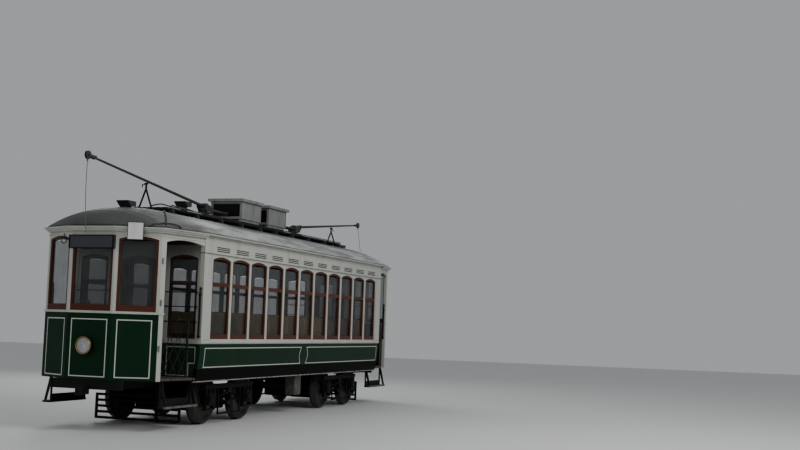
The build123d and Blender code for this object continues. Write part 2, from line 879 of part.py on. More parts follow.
# Resistor boxes: a body with sunk end panels on two runners, under an overhanging lid
runner_height = 69
runner_width = 50
panel_border = 40
panel_depth = 14
with BuildPart() as resistor_boxes:
    for near, far in resistor_spans:
        middle = (near + far) / 2
        with BuildSketch(Plane.XY.offset(board_top_z)):
            for y in (resistor_half - runner_width, runner_width - resistor_half):
                with Locations((middle, y)):
                    Rectangle(far - near - runner_width, runner_width)
        extrude(amount=runner_height + 1)
        with BuildSketch(Plane.XY.offset(board_top_z + runner_height)):
            with Locations((middle, 0)):
                Rectangle(far - near, 2 * resistor_half)
        extrude(amount=resistor_height - runner_height)
        with BuildSketch(Plane.XY.offset(board_top_z + resistor_height)):
            with Locations((middle, 0)):
                Rectangle(far - near + 2 * lid_overhang, 2 * (resistor_half + lid_overhang))
        extrude(amount=lid_thickness)
        with BuildSketch(along(near)):
            with Locations((0, board_top_z + (runner_height + resistor_height) / 2)):
                Rectangle(
                    2 * (resistor_half - panel_border), resistor_height - runner_height - 2 * panel_border
                )
        extrude(amount=panel_depth, mode=Mode.SUBTRACT)
        with BuildSketch(along(far - panel_depth)):
            with Locations((0, board_top_z + (runner_height + resistor_height) / 2)):
                Rectangle(
                    2 * (resistor_half - panel_border), resistor_height - runner_height - 2 * panel_border
                )
        extrude(amount=panel_depth, mode=Mode.SUBTRACT)
pieces["resistor_boxes"] = resistor_boxes.part

# Ventilators: a scoop on a short neck, its slanted mouth facing the end of the car
# Ventilator: x, height of its top above the roof's crown, whether the other end has its twin
ventilator_table = [(saloon_half + 390, 82, True), (swivel_x + 750, 262, False)]
scoop_half_width = 105
scoop_wall = 10
scoop_height = 95
scoop_front = 150
scoop_back = 75
scoop_mouth_foot = 45
neck_r = 52
neck_depth = 200
scoops = []
for x, rise, twin in ventilator_table:
    top_z = crown_z + rise
    with BuildPart() as scoop:
        with BuildSketch(across(scoop_half_width)):
            Polygon(
                (x - scoop_back, top_z - 12),
                (x - scoop_back + 12, top_z),
                (x + scoop_front, top_z),
                (x + scoop_front, top_z - 15),
                (x + scoop_mouth_foot, top_z - scoop_height),
                (x - scoop_back, top_z - scoop_height + 20),
                align=None,
            )
        extrude(amount=2 * scoop_half_width)
        with BuildSketch(across(scoop_half_width - scoop_wall)):
            Polygon(
                (x - scoop_back + 2 * scoop_wall, top_z - scoop_wall),
                (x + scoop_front + 1, top_z - scoop_wall),
                (x + scoop_front + 1, top_z - 15),
                (x + scoop_mouth_foot + 1, top_z - scoop_height + scoop_wall),
                (x - scoop_back + 2 * scoop_wall, top_z - scoop_height + 30),
                align=None,
            )
        extrude(amount=2 * (scoop_half_width - scoop_wall), mode=Mode.SUBTRACT)
        with BuildSketch(Plane.XY.offset(top_z - scoop_height + scoop_wall)):
            with Locations((x, 0)):
                Circle(neck_r)
        extrude(amount=-neck_depth)
        add(roof_outer.moved(Location((0, 0, seat_gap))), mode=Mode.SUBTRACT)
        with BuildSketch(Plane.XY.offset(board_z - seat_gap)):
            for y in plank_ys:
                with Locations((0, y)):
                    Rectangle(2 * (board_length + seat_gap), plank_width + 2 * seat_gap)
        extrude(amount=board_thickness + 2 * seat_gap, mode=Mode.SUBTRACT)
    scoops.append(scoop.part)
    if twin:
        scoops.append(scoop.part.mirror(Plane.YZ))
pieces["ventilators"] = group(*scoops)

# Trolley stands: a forked leg with a rest for the pole and a hook hanging by it
pole_rise = (pole_tip_z - pole_foot_z) / (pole_tip_x - pole_foot_x)
stand_below_pole = 28
stand_top_z = pole_foot_z + (stand_x - pole_foot_x) * pole_rise - stand_below_pole
stand_fork_z = stand_top_z - 105
stand_leg_r = 15
stand_spread = 125
stand_plate = 14
stand_foot_length = 70
stand_foot_width = 60
rest_width = 26
rest_depth = 24
hook_reach = 110
hook_r = 8
hook_drop = 45
hook_length = 90
hook_x = stand_x + hook_reach
stand_parts = [
    rod((stand_x, 0, stand_fork_z), (stand_x, 0, stand_top_z - rest_depth + 2), stand_leg_r + 2),
    rod((stand_x, 0, stand_top_z - rest_depth), (hook_x, 0, stand_top_z - hook_drop), hook_r),
    rod((hook_x, 0, stand_top_z - hook_drop + hook_r), (hook_x, 0, stand_top_z - hook_length), hook_r),
]
for side in (1, -1):
    foot_at = (stand_x, side * stand_spread, crown_z - 2)
    stand_parts.append(rod(foot_at, (stand_x, 0, stand_fork_z + 8), stand_leg_r))
with BuildPart() as pole_stands:
    with BuildSketch(Plane.XY.offset(crown_z - 30)):
        with Locations((stand_x, stand_spread), (stand_x, -stand_spread)):
            Rectangle(stand_foot_length, stand_foot_width)
    extrude(amount=30 + stand_plate)
    add(stand_parts)
    with BuildSketch(across(30)):
        with Locations((stand_x, stand_top_z - rest_depth / 2 - 3)):
            Rectangle(rest_width, rest_depth)
    extrude(amount=60)
    with BuildSketch(along(-board_length - 2 * stand_x)):
        with Locations((0, crown_z - roof_arc_r)):
            Circle(roof_arc_r + seat_gap)
    extrude(amount=2 * (board_length + 2 * stand_x), mode=Mode.SUBTRACT)
    mirror(about=Plane.YZ)
pieces["pole_stands"] = pole_stands.part

# Trolley bases: a dome on a square plate, with the pin the swivel turns on
post_r = 60
pivot_pin_r = 20
pivot_pin_reach = 20
turntable_z = board_top_z + 85
turntable_thickness = 30
base_plate_half = 190
base_plate_thickness = 20
dome_r = 175
with BuildPart() as trolley_bases:
    with BuildSketch(Plane.XY.offset(board_top_z)):
        with Locations((swivel_x, 0)):
            RectangleRounded(2 * base_plate_half, 2 * base_plate_half, 40)
    extrude(amount=base_plate_thickness)
    with BuildSketch(Plane.XZ):
        with BuildLine():
            Polyline(
                (swivel_x, turntable_z - seat_gap),
                (swivel_x, board_top_z + base_plate_thickness - 1),
                (swivel_x + dome_r, board_top_z + base_plate_thickness - 1),
            )
            ThreePointArc(
                (swivel_x + dome_r, board_top_z + base_plate_thickness - 1),
                (swivel_x + 0.78 * dome_r, board_top_z + base_plate_thickness + 32),
                (swivel_x + post_r, turntable_z - 22),
            )
            Polyline(
                (swivel_x + post_r, turntable_z - 22),
                (swivel_x + post_r, turntable_z - seat_gap),
                (swivel_x, turntable_z - seat_gap),
            )
        make_face()
    revolve(axis=Axis((swivel_x, 0, 0), (0, 0, 1)))
    with BuildSketch(Plane.XY.offset(board_top_z)):
        with Locations((swivel_x, 0)):
            Circle(pivot_pin_r)
    extrude(amount=turntable_z - board_top_z + pivot_pin_reach)
    mirror(about=Plane.YZ)
pieces["trolley_bases"] = trolley_bases.part

# Trolley swivels: a turntable with two cheeks for the pole's pin, and the springs that lift it
turntable_r = 115
cheek_y = 70
cheek_thickness = 12
cheek_back = 115
spring_y = 45
spring_r = 24
spring_length = 560
spring_rings = 14
spring_groove = 5
head_thickness = 16
head_height = 60
spring_z = pole_foot_z - 60
pole_pin_r = 14
boss_r = 40
spring_start_x = swivel_x - cheek_back + 5
spring_end_x = spring_start_x - spring_length
ring_length = spring_length / spring_rings
spring_profile = [(spring_end_x, 0)]
for i in range(spring_rings):
    ring_x = spring_end_x + i * ring_length
    spring_profile += [
        (ring_x, spring_r - spring_groove),
        (ring_x + ring_length / 2, spring_r),
        (ring_x + ring_length, spring_r - spring_groove),
    ]
spring_profile.append((spring_start_x, 0))
with BuildPart() as trolley_spring:
    with BuildSketch(Plane.XZ.offset(-spring_y)):
        with Locations((0, spring_z)):
            Polygon(*dict.fromkeys(spring_profile), align=None)
    revolve(axis=Axis((0, spring_y, spring_z), (1, 0, 0)))
with BuildPart() as trolley_swivel_front:
    with BuildSketch(Plane.XY.offset(turntable_z)):
        with Locations((swivel_x, 0)):
            Circle(turntable_r)
            Circle(pivot_pin_r + running_gap, mode=Mode.SUBTRACT)
    extrude(amount=turntable_thickness)
    with BuildSketch(across(cheek_y + cheek_thickness)):
        with BuildLine():
            Polyline(
                (swivel_x - 100, turntable_z + lap),
                (swivel_x + 100, turntable_z + lap),
                (pole_foot_x + 45, pole_foot_z - 10),
                (pole_foot_x + 30, pole_foot_z + 38),
                (pole_foot_x - 40, pole_foot_z + 42),
                (swivel_x - cheek_back, pole_foot_z - 20),
                close=True,
            )
        make_face()
        with Locations((pole_foot_x, pole_foot_z)):
            Circle(pole_pin_r + running_gap, mode=Mode.SUBTRACT)
    cheek = extrude(amount=cheek_thickness)
    mirror(cheek, about=Plane.XZ)
    with BuildSketch(along(spring_start_x)):
        with Locations((0, spring_z)):
            Rectangle(2 * (cheek_y + cheek_thickness), head_height)
    extrude(amount=head_thickness)
    add(trolley_spring.part)
    add(trolley_spring.part.mirror(Plane.XZ))
    with BuildSketch(along(spring_end_x - head_thickness + 1)):
        with Locations((0, spring_z)):
            Rectangle(2 * (spring_y + spring_r) + 12, head_height)
    extrude(amount=head_thickness)
    with BuildSketch(along(spring_end_x - head_thickness - 20)):
        for y in (spring_y, -spring_y):
            with Locations((y, spring_z)):
                RegularPolygon(14, 6)
    extrude(amount=spring_length)
pieces["trolley_swivel_front"] = trolley_swivel_front.part
pieces["trolley_swivel_rear"] = trolley_swivel_front.part.mirror(Plane.YZ)

# Trolley poles: a tapered tube from its pivot to the harp that holds the wheel
foot = Vector(pole_foot_x, 0, pole_foot_z)
tip = Vector(pole_tip_x, 0, pole_tip_z)
pole_run = tip - foot
harp_length = 150
harp_root_length = pole_run.length - harp_length
pole_start = 30
pole_plane = Plane(origin=foot, x_dir=(0, 1, 0), z_dir=pole_run.normalized())
pole_side = Plane(origin=foot, x_dir=pole_run.normalized(), z_dir=(0, -1, 0))
harp_half = trolley_wheel_width / 2 + 5
boss_half = boss_r + 20
pin_half = cheek_y + cheek_thickness + 10
with BuildPart() as trolley_pole_front:
    with BuildSketch(pole_side):
        Polygon(
            (pole_start, 0),
            (pole_start, pole_foot_r),
            (harp_root_length, pole_tip_r),
            (harp_root_length, 0),
            align=None,
        )
    revolve(axis=Axis(foot, pole_run.normalized()))
    with BuildSketch(across(boss_half)):
        with Locations((pole_foot_x, pole_foot_z)):
            Circle(boss_r)
    extrude(amount=2 * boss_half)
    with BuildSketch(across(pin_half)):
        with Locations((pole_foot_x, pole_foot_z)):
            Circle(pole_pin_r)
    extrude(amount=2 * pin_half)
    with BuildSketch(pole_plane.offset(harp_root_length - 30)):
        Rectangle(2 * harp_half + 2 * harp_cheek, 50)
    extrude(amount=40)
    with BuildSketch(pole_plane.offset(harp_root_length)):
        for y in (harp_half + harp_cheek / 2, -harp_half - harp_cheek / 2):
            with Locations((y, 0)):
                Rectangle(harp_cheek, 40)
    extrude(amount=harp_length + 2 * wheel_pin_r)
    with BuildSketch(across(harp_half + harp_cheek)):
        with Locations((pole_tip_x, pole_tip_z)):
            Circle(wheel_pin_r)
    extrude(amount=2 * (harp_half + harp_cheek))
pieces["trolley_pole_front"] = trolley_pole_front.part
pieces["trolley_pole_rear"] = trolley_pole_front.part.mirror(Plane.YZ)

groove_half = 5
groove_depth = 18
wheel_lip = 6
trolley_wheel_half = trolley_wheel_width / 2
with BuildPart() as trolley_wheel_front:
    with BuildSketch(Plane(origin=(pole_tip_x, 0, pole_tip_z), x_dir=(0, 1, 0), z_dir=(1, 0, 0))):
        with BuildLine():
            Polyline(
                (-trolley_wheel_half, wheel_pin_r + running_gap),
                (-trolley_wheel_half, trolley_wheel_r),
                (-trolley_wheel_half + wheel_lip, trolley_wheel_r),
                (-groove_half, trolley_wheel_r - groove_depth),
                (groove_half, trolley_wheel_r - groove_depth),
                (trolley_wheel_half - wheel_lip, trolley_wheel_r),
                (trolley_wheel_half, trolley_wheel_r),
                (trolley_wheel_half, wheel_pin_r + running_gap),
                close=True,
            )
        make_face()
    revolve(axis=Axis((pole_tip_x, 0, pole_tip_z), (0, 1, 0)))
pieces["trolley_wheel_front"] = trolley_wheel_front.part
pieces["trolley_wheel_rear"] = trolley_wheel_front.part.mirror(Plane.YZ)

# Seats: reversible cross benches each side of the aisle; legs, cushions and backs are apart
seat_count = 9
seat_end_room = 870
seat_pitch = 2 * (saloon_half - seat_end_room) / (seat_count - 1)
aisle_half = 275
seat_outer_y = half_width - wall - 35
seat_width = seat_outer_y - aisle_half
seat_y = (seat_outer_y + aisle_half) / 2
seat_leg_length = 280
seat_leg_width = 40
seat_leg_inset = 60
cushion_depth = 430
cushion_z = saloon_floor_z + 325
cushion_thickness = 110
cushion_round = 30
back_thickness = 60
back_z = cushion_z + cushion_thickness + 30
back_top_z = cushion_z + 560
back_lean = 45
back_arm = 14
seat_xs = [(i - (seat_count - 1) / 2) * seat_pitch for i in range(seat_count)]
with BuildPart() as seat_legs:
    with BuildSketch(Plane.XY.offset(saloon_floor_z)):
        for x in seat_xs:
            for side in (1, -1):
                with Locations((x, seat_y + side * (seat_width / 2 - seat_leg_inset))):
                    Rectangle(seat_leg_length, seat_leg_width)
    extrude(amount=cushion_z - saloon_floor_z)
with BuildPart() as seat_cushions:
    with BuildSketch(across(seat_outer_y)):
        for x in seat_xs:
            with Locations((x, cushion_z + cushion_thickness / 2)):
                RectangleRounded(cushion_depth, cushion_thickness, cushion_round)
    extrude(amount=seat_width)
with BuildPart() as seat_backs:
    for x in seat_xs:
        back_x = x - cushion_depth / 2
        with BuildSketch(across(seat_outer_y)):
            Polygon(
                (back_x, back_z),
                (back_x + back_thickness, back_z),
                (back_x + back_thickness - back_lean, back_top_z - 20),
                (back_x + back_thickness / 2 - back_lean, back_top_z),
                (back_x - back_lean, back_top_z - 20),
                align=None,
            )
        extrude(amount=seat_width)
        with BuildSketch(across(seat_outer_y)):
            Polygon(
                (back_x + 10, cushion_z + cushion_thickness - lap),
                (back_x + 45, cushion_z + cushion_thickness - lap),
                (back_x + 45, back_z + 40),
                (back_x + 10, back_z + 40),
                align=None,
            )
        extrude(amount=back_arm)
        with BuildSketch(across(aisle_half + back_arm)):
            Polygon(
                (back_x + 10, cushion_z + cushion_thickness - lap),
                (back_x + 45, cushion_z + cushion_thickness - lap),
                (back_x + 45, back_z + 40),
                (back_x + 10, back_z + 40),
                align=None,
            )
        extrude(amount=back_arm)
    add(seat_cushions.part, mode=Mode.SUBTRACT)
seats_left = group(seat_legs.part, seat_cushions.part, seat_backs.part)
pieces["seats_left"] = seats_left
pieces["seats_right"] = mirrored(seats_left, Plane.XZ)

# Controllers on the platforms: a round-cornered case with a domed cap and a handle
controller_x = nose_x - 340
controller_y = 430
controller_length = 240
controller_width = 380
controller_round = 60
controller_height = 880
cap_height = 25
handle_r = 35
handle_reach = 170
with BuildPart() as controllers:
    with BuildSketch(Plane.XY.offset(platform_floor_z)):
        with Locations((controller_x, controller_y)):
            RectangleRounded(controller_length, controller_width, controller_round)
    extrude(amount=controller_height)
    with BuildSketch(Plane.XY.offset(platform_floor_z + controller_height)):
        with Locations((controller_x, controller_y)):
            RectangleRounded(controller_length + 16, controller_width + 16, controller_round + 8)
    extrude(amount=cap_height)
    with BuildSketch(Plane.XY.offset(platform_floor_z + controller_height + cap_height)):
        with Locations((controller_x, controller_y)):
            Circle(handle_r)
    extrude(amount=30)
    with BuildSketch(Plane.XY.offset(platform_floor_z + controller_height + cap_height + 12)):
        with Locations((controller_x - handle_reach / 2, controller_y)):
            SlotOverall(handle_reach, 26)
    extrude(amount=18)
    mirror(about=Plane.YZ)
pieces["controllers"] = controllers.part

# Hand brakes: a staff with a crank and an upright grip
brake_x = nose_x - 290
brake_y = -330
brake_staff_r = 22
brake_height = 960
crank_reach = 170
crank_r = 13
brake_top_z = platform_floor_z + brake_height
brake_parts = [
    rod((brake_x, brake_y, platform_floor_z), (brake_x, brake_y, brake_top_z), brake_staff_r),
    rod((brake_x, brake_y, brake_top_z - 15), (brake_x - crank_reach, brake_y, brake_top_z + 25), crank_r),
    rod(
        (brake_x - crank_reach, brake_y, platform_floor_z + brake_height + 10),
        (brake_x - crank_reach, brake_y, platform_floor_z + brake_height + 150),
        16,
    ),
    rod((brake_x, brake_y, platform_floor_z), (brake_x, brake_y, platform_floor_z + 30), 75),
]
with BuildPart() as hand_brakes:
    add(brake_parts)
    mirror(about=Plane.YZ)
pieces["hand_brakes"] = hand_brakes.part

# Grab rails: by the saloon corners, by two corner posts, and guard rods over the bulkhead windows
rail_r = 14
rail_foot_r = 11
grab_low_z = belt_z + 95
grab_high_z = grab_low_z + 765
grab_standoff = 45
grab_y = half_width - 16
guard_rod_r = 8
guard_rod_zs = [belt_z + 329, belt_z + 559, belt_z + 780]
guard_standoff = 40
guard_low_y = bulkhead_window_inner_y - 20
guard_high_y = bulkhead_window_outer_y + 10
grab_rods = []
for side in (1, -1):
    grab_rods.append(
        rod(
            (saloon_half + grab_standoff, side * grab_y, grab_low_z),
            (saloon_half + grab_standoff, side * grab_y, grab_high_z),
            rail_r,
        )
    )
    for z in (grab_low_z + 20, grab_high_z - 20):
        grab_rods.append(
            rod(
                (saloon_half, side * grab_y, z),
                (saloon_half + grab_standoff, side * grab_y, z),
                rail_foot_r,
            )
        )
    for z in guard_rod_zs:
        for y in (guard_low_y, guard_high_y):
            grab_rods.append(
                rod(
                    (bulkhead_face_x, side * y, z),
                    (bulkhead_face_x + guard_standoff + 12, side * y, z),
                    rail_foot_r,
                )
            )
        grab_rods.append(
            rod(
                (bulkhead_face_x + guard_standoff, side * guard_low_y, z),
                (bulkhead_face_x + guard_standoff, side * guard_high_y, z),
                guard_rod_r,
            )
        )
side_slope = (corner_y - half_width) / (corner_x - saloon_half)
post_rail_x = post_half - grab_standoff
post_rail_y = half_width + side_slope * platform_length - wall / 2
post_rods = [rod((post_rail_x, -post_rail_y, grab_low_z), (post_rail_x, -post_rail_y, grab_high_z), rail_r)]
for z in (grab_low_z + 20, grab_high_z - 20):
    post_rods.append(rod((post_half, -post_rail_y, z), (post_rail_x, -post_rail_y, z), rail_foot_r))
with BuildPart() as grab_set:
    add(grab_rods)
    mirror(about=Plane.YZ)
with BuildPart() as post_set:
    add(post_rods)
pieces["grab_rails"] = group(grab_set.part, post_set.part, turned_half_round(post_set.part))

# Steps hung under the doorways on slanted irons
step_x = saloon_half + 302
step_tread_z = platform_floor_z - 433
step_length = 960
step_depth = 150
step_thickness = 30
step_inner_y = sill_outer_y - 112
step_outer_y = step_inner_y + step_depth
step_iron = 16
step_riser = 130
step_iron_inset = 40
with BuildPart() as steps:
    with BuildSketch(Plane.XY.offset(step_tread_z)):
        with Locations((step_x, (step_inner_y + step_outer_y) / 2)):
            RectangleRounded(step_length, step_depth, 30)
    extrude(amount=step_thickness)
    for x, top_z in (
        (step_x - step_length / 2 + step_iron_inset, sill_z),
        (step_x + step_length / 2 - step_iron_inset - step_iron, platform_bottom_z),
    ):
        with BuildSketch(along(x)):
            Polygon(
                (step_inner_y, top_z),
                (step_inner_y + 50, top_z),
                (step_outer_y - 20, step_tread_z + step_thickness + 14),
                (step_outer_y - 20, step_tread_z + 1),
                (step_outer_y - 50, step_tread_z + 1),
                (step_inner_y + 30, top_z - 110),
                (step_inner_y + 30, step_tread_z + 1),
                (step_inner_y, step_tread_z + 1),
                align=None,
            )
        extrude(amount=step_iron)
    with BuildSketch(across(step_inner_y + step_iron)):
        with Locations((step_x, step_tread_z + step_riser / 2)):
            Rectangle(step_length - 2 * step_iron_inset, step_riser)
    extrude(amount=12)
    mirror(about=Plane.XZ)
    mirror(about=Plane.YZ)
pieces["steps"] = steps.part

# Life guards: a slatted board across the car just before the wheels
guard_x = bogie_x + 1320
guard_half = 760
guard_z = 60
guard_height = 400
guard_slat = 40
guard_slats = 5
guard_depth = 24
guard_hanger = 40
guard_parts = []
for side in (1, -1):
    low = (guard_x - guard_hanger / 2, side * (knee_y + knee_width / 2) - guard_hanger / 2, guard_z)
    guard_parts.append(box_between(low, (low[0] + guard_hanger, low[1] + guard_hanger, knee_z)))
    low = (guard_x - guard_depth / 2, side * (guard_half - guard_slat / 2) - guard_slat / 2, guard_z)
    high = (low[0] + guard_depth, low[1] + guard_slat, guard_z + guard_height)
    guard_parts.append(box_between(low, high))
for i in range(guard_slats):
    z = guard_z + i * (guard_height - guard_slat) / (guard_slats - 1)
    guard_parts.append(
        box_between(
            (guard_x - guard_depth / 2, -guard_half, z),
            (guard_x + guard_depth / 2, guard_half, z + guard_slat),
        )
    )
with BuildPart() as life_guards:
    add(guard_parts)
    mirror(about=Plane.YZ)
pieces["life_guards"] = life_guards.part

# Couplers
coupler_z = knee_z
coupler_back_x = knee_end_x + buffer_beam_width
coupler_tip_x = nose_x + 210
coupler_eye_x = coupler_tip_x - 60
coupler_eye_r = 60
coupler_pin_r = 20
coupler_eye_height = 130
coupler_bar_height = 110
coupler_bar_width = 90
with BuildPart() as couplers:
    with BuildSketch(Plane.XY.offset(coupler_z - coupler_bar_height / 2 - 15)):
        with Locations(((coupler_back_x + coupler_eye_x) / 2, 0)):
            Rectangle(coupler_eye_x - coupler_back_x, coupler_bar_width)
    extrude(amount=coupler_bar_height)
    with BuildSketch(Plane.XY.offset(coupler_z - coupler_eye_height / 2 - 15)):
        with Locations((coupler_eye_x, 0)):
            Circle(coupler_eye_r)
    extrude(amount=coupler_eye_height)
    with BuildSketch(Plane.XY.offset(coupler_z - coupler_eye_height / 2 - 15)):
        with Locations((coupler_eye_x, 0)):
            Circle(coupler_pin_r)
    extrude(amount=coupler_eye_height, mode=Mode.SUBTRACT)
    mirror(about=Plane.YZ)
pieces["couplers"] = couplers.part

# Folding gates: a lattice fixed to the corner post, and a free post that slides along the doorway
gate_low_z = platform_floor_z + 12
gate_high_z = belt_z + 370
gate_inset = wall / 2 + 2
gate_length = 585
gate_post_width = 24
gate_bar = 12
gate_bar_depth = 6
gate_cells = 3
hairpin_half = 40
hairpin_bar = 8
lattice_low_z = gate_low_z + 20
lattice_high_z = belt_z + 115
doorway_line = inset_line(platform_plan[0], platform_plan[1], -gate_inset)
gate_run = Vector(
    doorway_line[0][0] - doorway_line[1][0], doorway_line[0][1] - doorway_line[1][1], 0
).normalized()
gate_fixed_x = post_half - seat_gap - gate_post_width / 2 * (abs(gate_run.X) + abs(gate_run.Y))
gate_fixed = crossing(doorway_line, ((gate_fixed_x, -1.0), (gate_fixed_x, 1.0)))
gate_plane = Plane(
    origin=(gate_fixed[0], gate_fixed[1], 0), x_dir=gate_run, z_dir=(gate_run.Y, -gate_run.X, 0)
)
lattice_width = gate_length - gate_post_width - seat_gap
cell = lattice_width / gate_cells
lattice_height = lattice_high_z - lattice_low_z
bar_angle = degrees(atan2(lattice_height, 2 * cell))
bar_length = hypot(lattice_height, 2 * cell)
lattice_middle = gate_post_width / 2 + lattice_width / 2
with BuildPart() as gate_lattice_front:
    with BuildSketch(gate_plane):
        with Locations((0, (gate_low_z + gate_high_z) / 2)):
            Rectangle(gate_post_width, gate_high_z - gate_low_z)
    extrude(amount=gate_post_width / 2, both=True)
    for lean in (1, -1):
        with BuildSketch(gate_plane):
            for i in range(-1, gate_cells):
                middle = gate_post_width / 2 + cell * (i + 1)
                bar_centre = (middle, (lattice_low_z + lattice_high_z) / 2, 0)
                with Locations(Location(bar_centre, (0, 0, lean * bar_angle))):
                    Rectangle(bar_length, gate_bar)
            with Locations((lattice_middle, (lattice_low_z + lattice_high_z) / 2)):
                Rectangle(lattice_width, lattice_height + gate_bar, mode=Mode.INTERSECT)
        extrude(amount=lean * gate_bar_depth)
    with BuildSketch(gate_plane):
        for i in range(1, gate_cells):
            pin_x = gate_post_width / 2 + cell * i
            arch_outline(
                pin_x, 2 * hairpin_half, lattice_high_z - 80, gate_high_z - hairpin_half, gate_high_z
            )
    extrude(amount=hairpin_bar / 2, both=True)
    with BuildSketch(gate_plane):
        for i in range(1, gate_cells):
            pin_x = gate_post_width / 2 + cell * i
            arch_outline(
                pin_x,
                2 * (hairpin_half - hairpin_bar),
                lattice_high_z - 81,
                gate_high_z - hairpin_half,
                gate_high_z - hairpin_bar,
            )
    extrude(amount=hairpin_bar, both=True, mode=Mode.SUBTRACT)
pieces["gate_lattice_front"] = gate_lattice_front.part
pieces["gate_lattice_rear"] = turned_half_round(gate_lattice_front.part)

with BuildPart() as gate_post_front:
    with BuildSketch(gate_plane):
        arch_outline(
            gate_length, gate_post_width, gate_low_z, gate_high_z - gate_post_width / 2, gate_high_z
        )
    extrude(amount=gate_post_width / 2, both=True)
pieces["gate_post_front"] = gate_post_front.part
pieces["gate_post_rear"] = turned_half_round(gate_post_front.part)
print("gate slides along", round(-gate_run.X, 5), round(-gate_run.Y, 5))

# Headlamps on the dashes: a bowl on a neck
lamp_z = belt_z - 55
lamp_r = 130
lamp_neck_r = 60
lamp_depth = 120
with BuildPart() as headlamps:
    with BuildSketch(Plane.XY.offset(lamp_z)):
        with BuildLine():
            Polyline(
                (nose_x + lamp_depth, 0),
                (nose_x, 0),
                (nose_x, lamp_neck_r),
                (nose_x + 30, lamp_neck_r),
            )
            ThreePointArc(
                (nose_x + 30, lamp_neck_r),
                (nose_x + 60, 0.85 * lamp_r),
                (nose_x + lamp_depth - 20, lamp_r - 8),
            )
            Polyline(
                (nose_x + lamp_depth - 20, lamp_r - 8),
                (nose_x + lamp_depth - 20, lamp_r),
                (nose_x + lamp_depth, lamp_r),
                (nose_x + lamp_depth, lamp_r - 15),
                (nose_x + lamp_depth - 8, lamp_r - 15),
                (nose_x + lamp_depth - 8, 0),
                (nose_x + lamp_depth, 0),
            )
        make_face()
    revolve(axis=Axis((nose_x, 0, lamp_z), (1, 0, 0)))
    mirror(about=Plane.YZ)
pieces["headlamps"] = headlamps.part

# Destination signs over the middle windows
sign_height = 195
sign_depth = 70
sign_border = 12
sign_pane_depth = 6
sign_z = end_crown_z - sign_height / 2
with BuildPart() as destination_signs:
    with BuildSketch(along(nose_x + seat_gap)):
        with Locations((0, sign_z)):
            Rectangle(2 * nose_y, sign_height)
    extrude(amount=sign_depth)
    with BuildSketch(along(nose_x + seat_gap + sign_depth - sign_pane_depth)):
        with Locations((0, sign_z)):
            Rectangle(2 * (nose_y - sign_border), sign_height - 2 * sign_border)
    extrude(amount=sign_pane_depth, mode=Mode.SUBTRACT)
    mirror(about=Plane.YZ)
pieces["destination_signs"] = destination_signs.part

# Equipment box hung under the left sill
equipment_x = -275
equipment_length = 270
equipment_height = 365
equipment_y = sill_outer_y - 205
equipment_width = 210
with BuildPart() as equipment_box:
    with BuildSketch(Plane.XY.offset(sill_z - equipment_height)):
        with Locations((equipment_x, equipment_y)):
            RectangleRounded(equipment_length, equipment_width, 30)
    extrude(amount=equipment_height)
pieces["equipment_box"] = equipment_box.part

# Bogies: bars, transoms and pedestals that butt against one another, with the axleboxes,
# springs and brake shoes that they carry
axle_offset = wheelbase / 2
side_bar_y = (axlebox_inner_y + axlebox_outer_y) / 2
side_bar_inner_y = side_bar_y - side_bar_width / 2
side_bar_half = axle_offset + side_bar_overrun
side_bar_chamfer = 40
pedestal_x = axlebox_width / 2 + pedestal_width
bore_depth = journal_length + running_gap + 3
axlebox_round = 30
axlebox_lid_r = 70
axlebox_lid_thickness = 10
coil_r = 55
coil_rings = 4
coil_groove = 9
plank_half = 90
plank_z = 290
plank_thickness = 40
leaf_half = axle_offset - pedestal_x - 200
leaf_thickness = 20
leaf_eye_z = plank_z + plank_thickness + 88
leaf_cap_half = 60
shoe_gap = 6
shoe_thickness = 45
shoe_half_angle = 24
shoe_inner_y = wheel_back_y + flange_width + 6
shoe_outer_y = wheel_back_y + tyre_width - 4
shoe_hanger_inset = 20
drop_bar_x = axle_offset - pedestal_x - 125
drop_bar_width = 22
drop_bar_z = 150
drop_bar_tie = 28
centre_frame_half = 210
bogie_middle = Plane.YZ.offset(bogie_x)


def four_ways(shape):
    # the shape and its mirror images at the bogie's other end and side
    other_end = shape.mirror(bogie_middle)
    return [shape, other_end, shape.mirror(Plane.XZ), other_end.mirror(Plane.XZ)]


def bogie_block(low, high):
    # a block placed from the middle of the front bogie
    return box_between((bogie_x + low[0], low[1], low[2]), (bogie_x + high[0], high[1], high[2]))


def ribbed_spring(place, radius, groove, rings, height):
    # a coil spring standing on a point, drawn as a grooved cylinder
    ring = height / rings
    outline = [(0, 0)]
    for i in range(rings):
        outline += [
            (radius - groove, i * ring),
            (radius, (i + 0.5) * ring),
            (radius - groove, (i + 1) * ring),
        ]
    outline.append((0, height))
    with BuildPart() as spring:
        with BuildSketch(Plane(origin=place, x_dir=(1, 0, 0), z_dir=(0, -1, 0))):
            Polygon(*dict.fromkeys(outline), align=None)
        revolve(axis=Axis(place, (0, 0, 1)))
    return spring.part


def leaf(sign):
    # one half of an elliptic spring: the lower half bows down, the upper half up
    bow = leaf_eye_z - plank_z - plank_thickness
    with BuildPart() as strip:
        with BuildSketch(across(side_bar_y + side_bar_width / 2)):
            with BuildLine():
                ThreePointArc(
                    (bogie_x - leaf_half, leaf_eye_z),
                    (bogie_x, leaf_eye_z + sign * bow),
                    (bogie_x + leaf_half, leaf_eye_z),
                )
                ThreePointArc(
                    (bogie_x + leaf_half, leaf_eye_z),
                    (bogie_x, leaf_eye_z + sign * (bow - leaf_thickness)),
                    (bogie_x - leaf_half, leaf_eye_z),
                )
            make_face()
        extrude(amount=side_bar_width)
    return strip.part


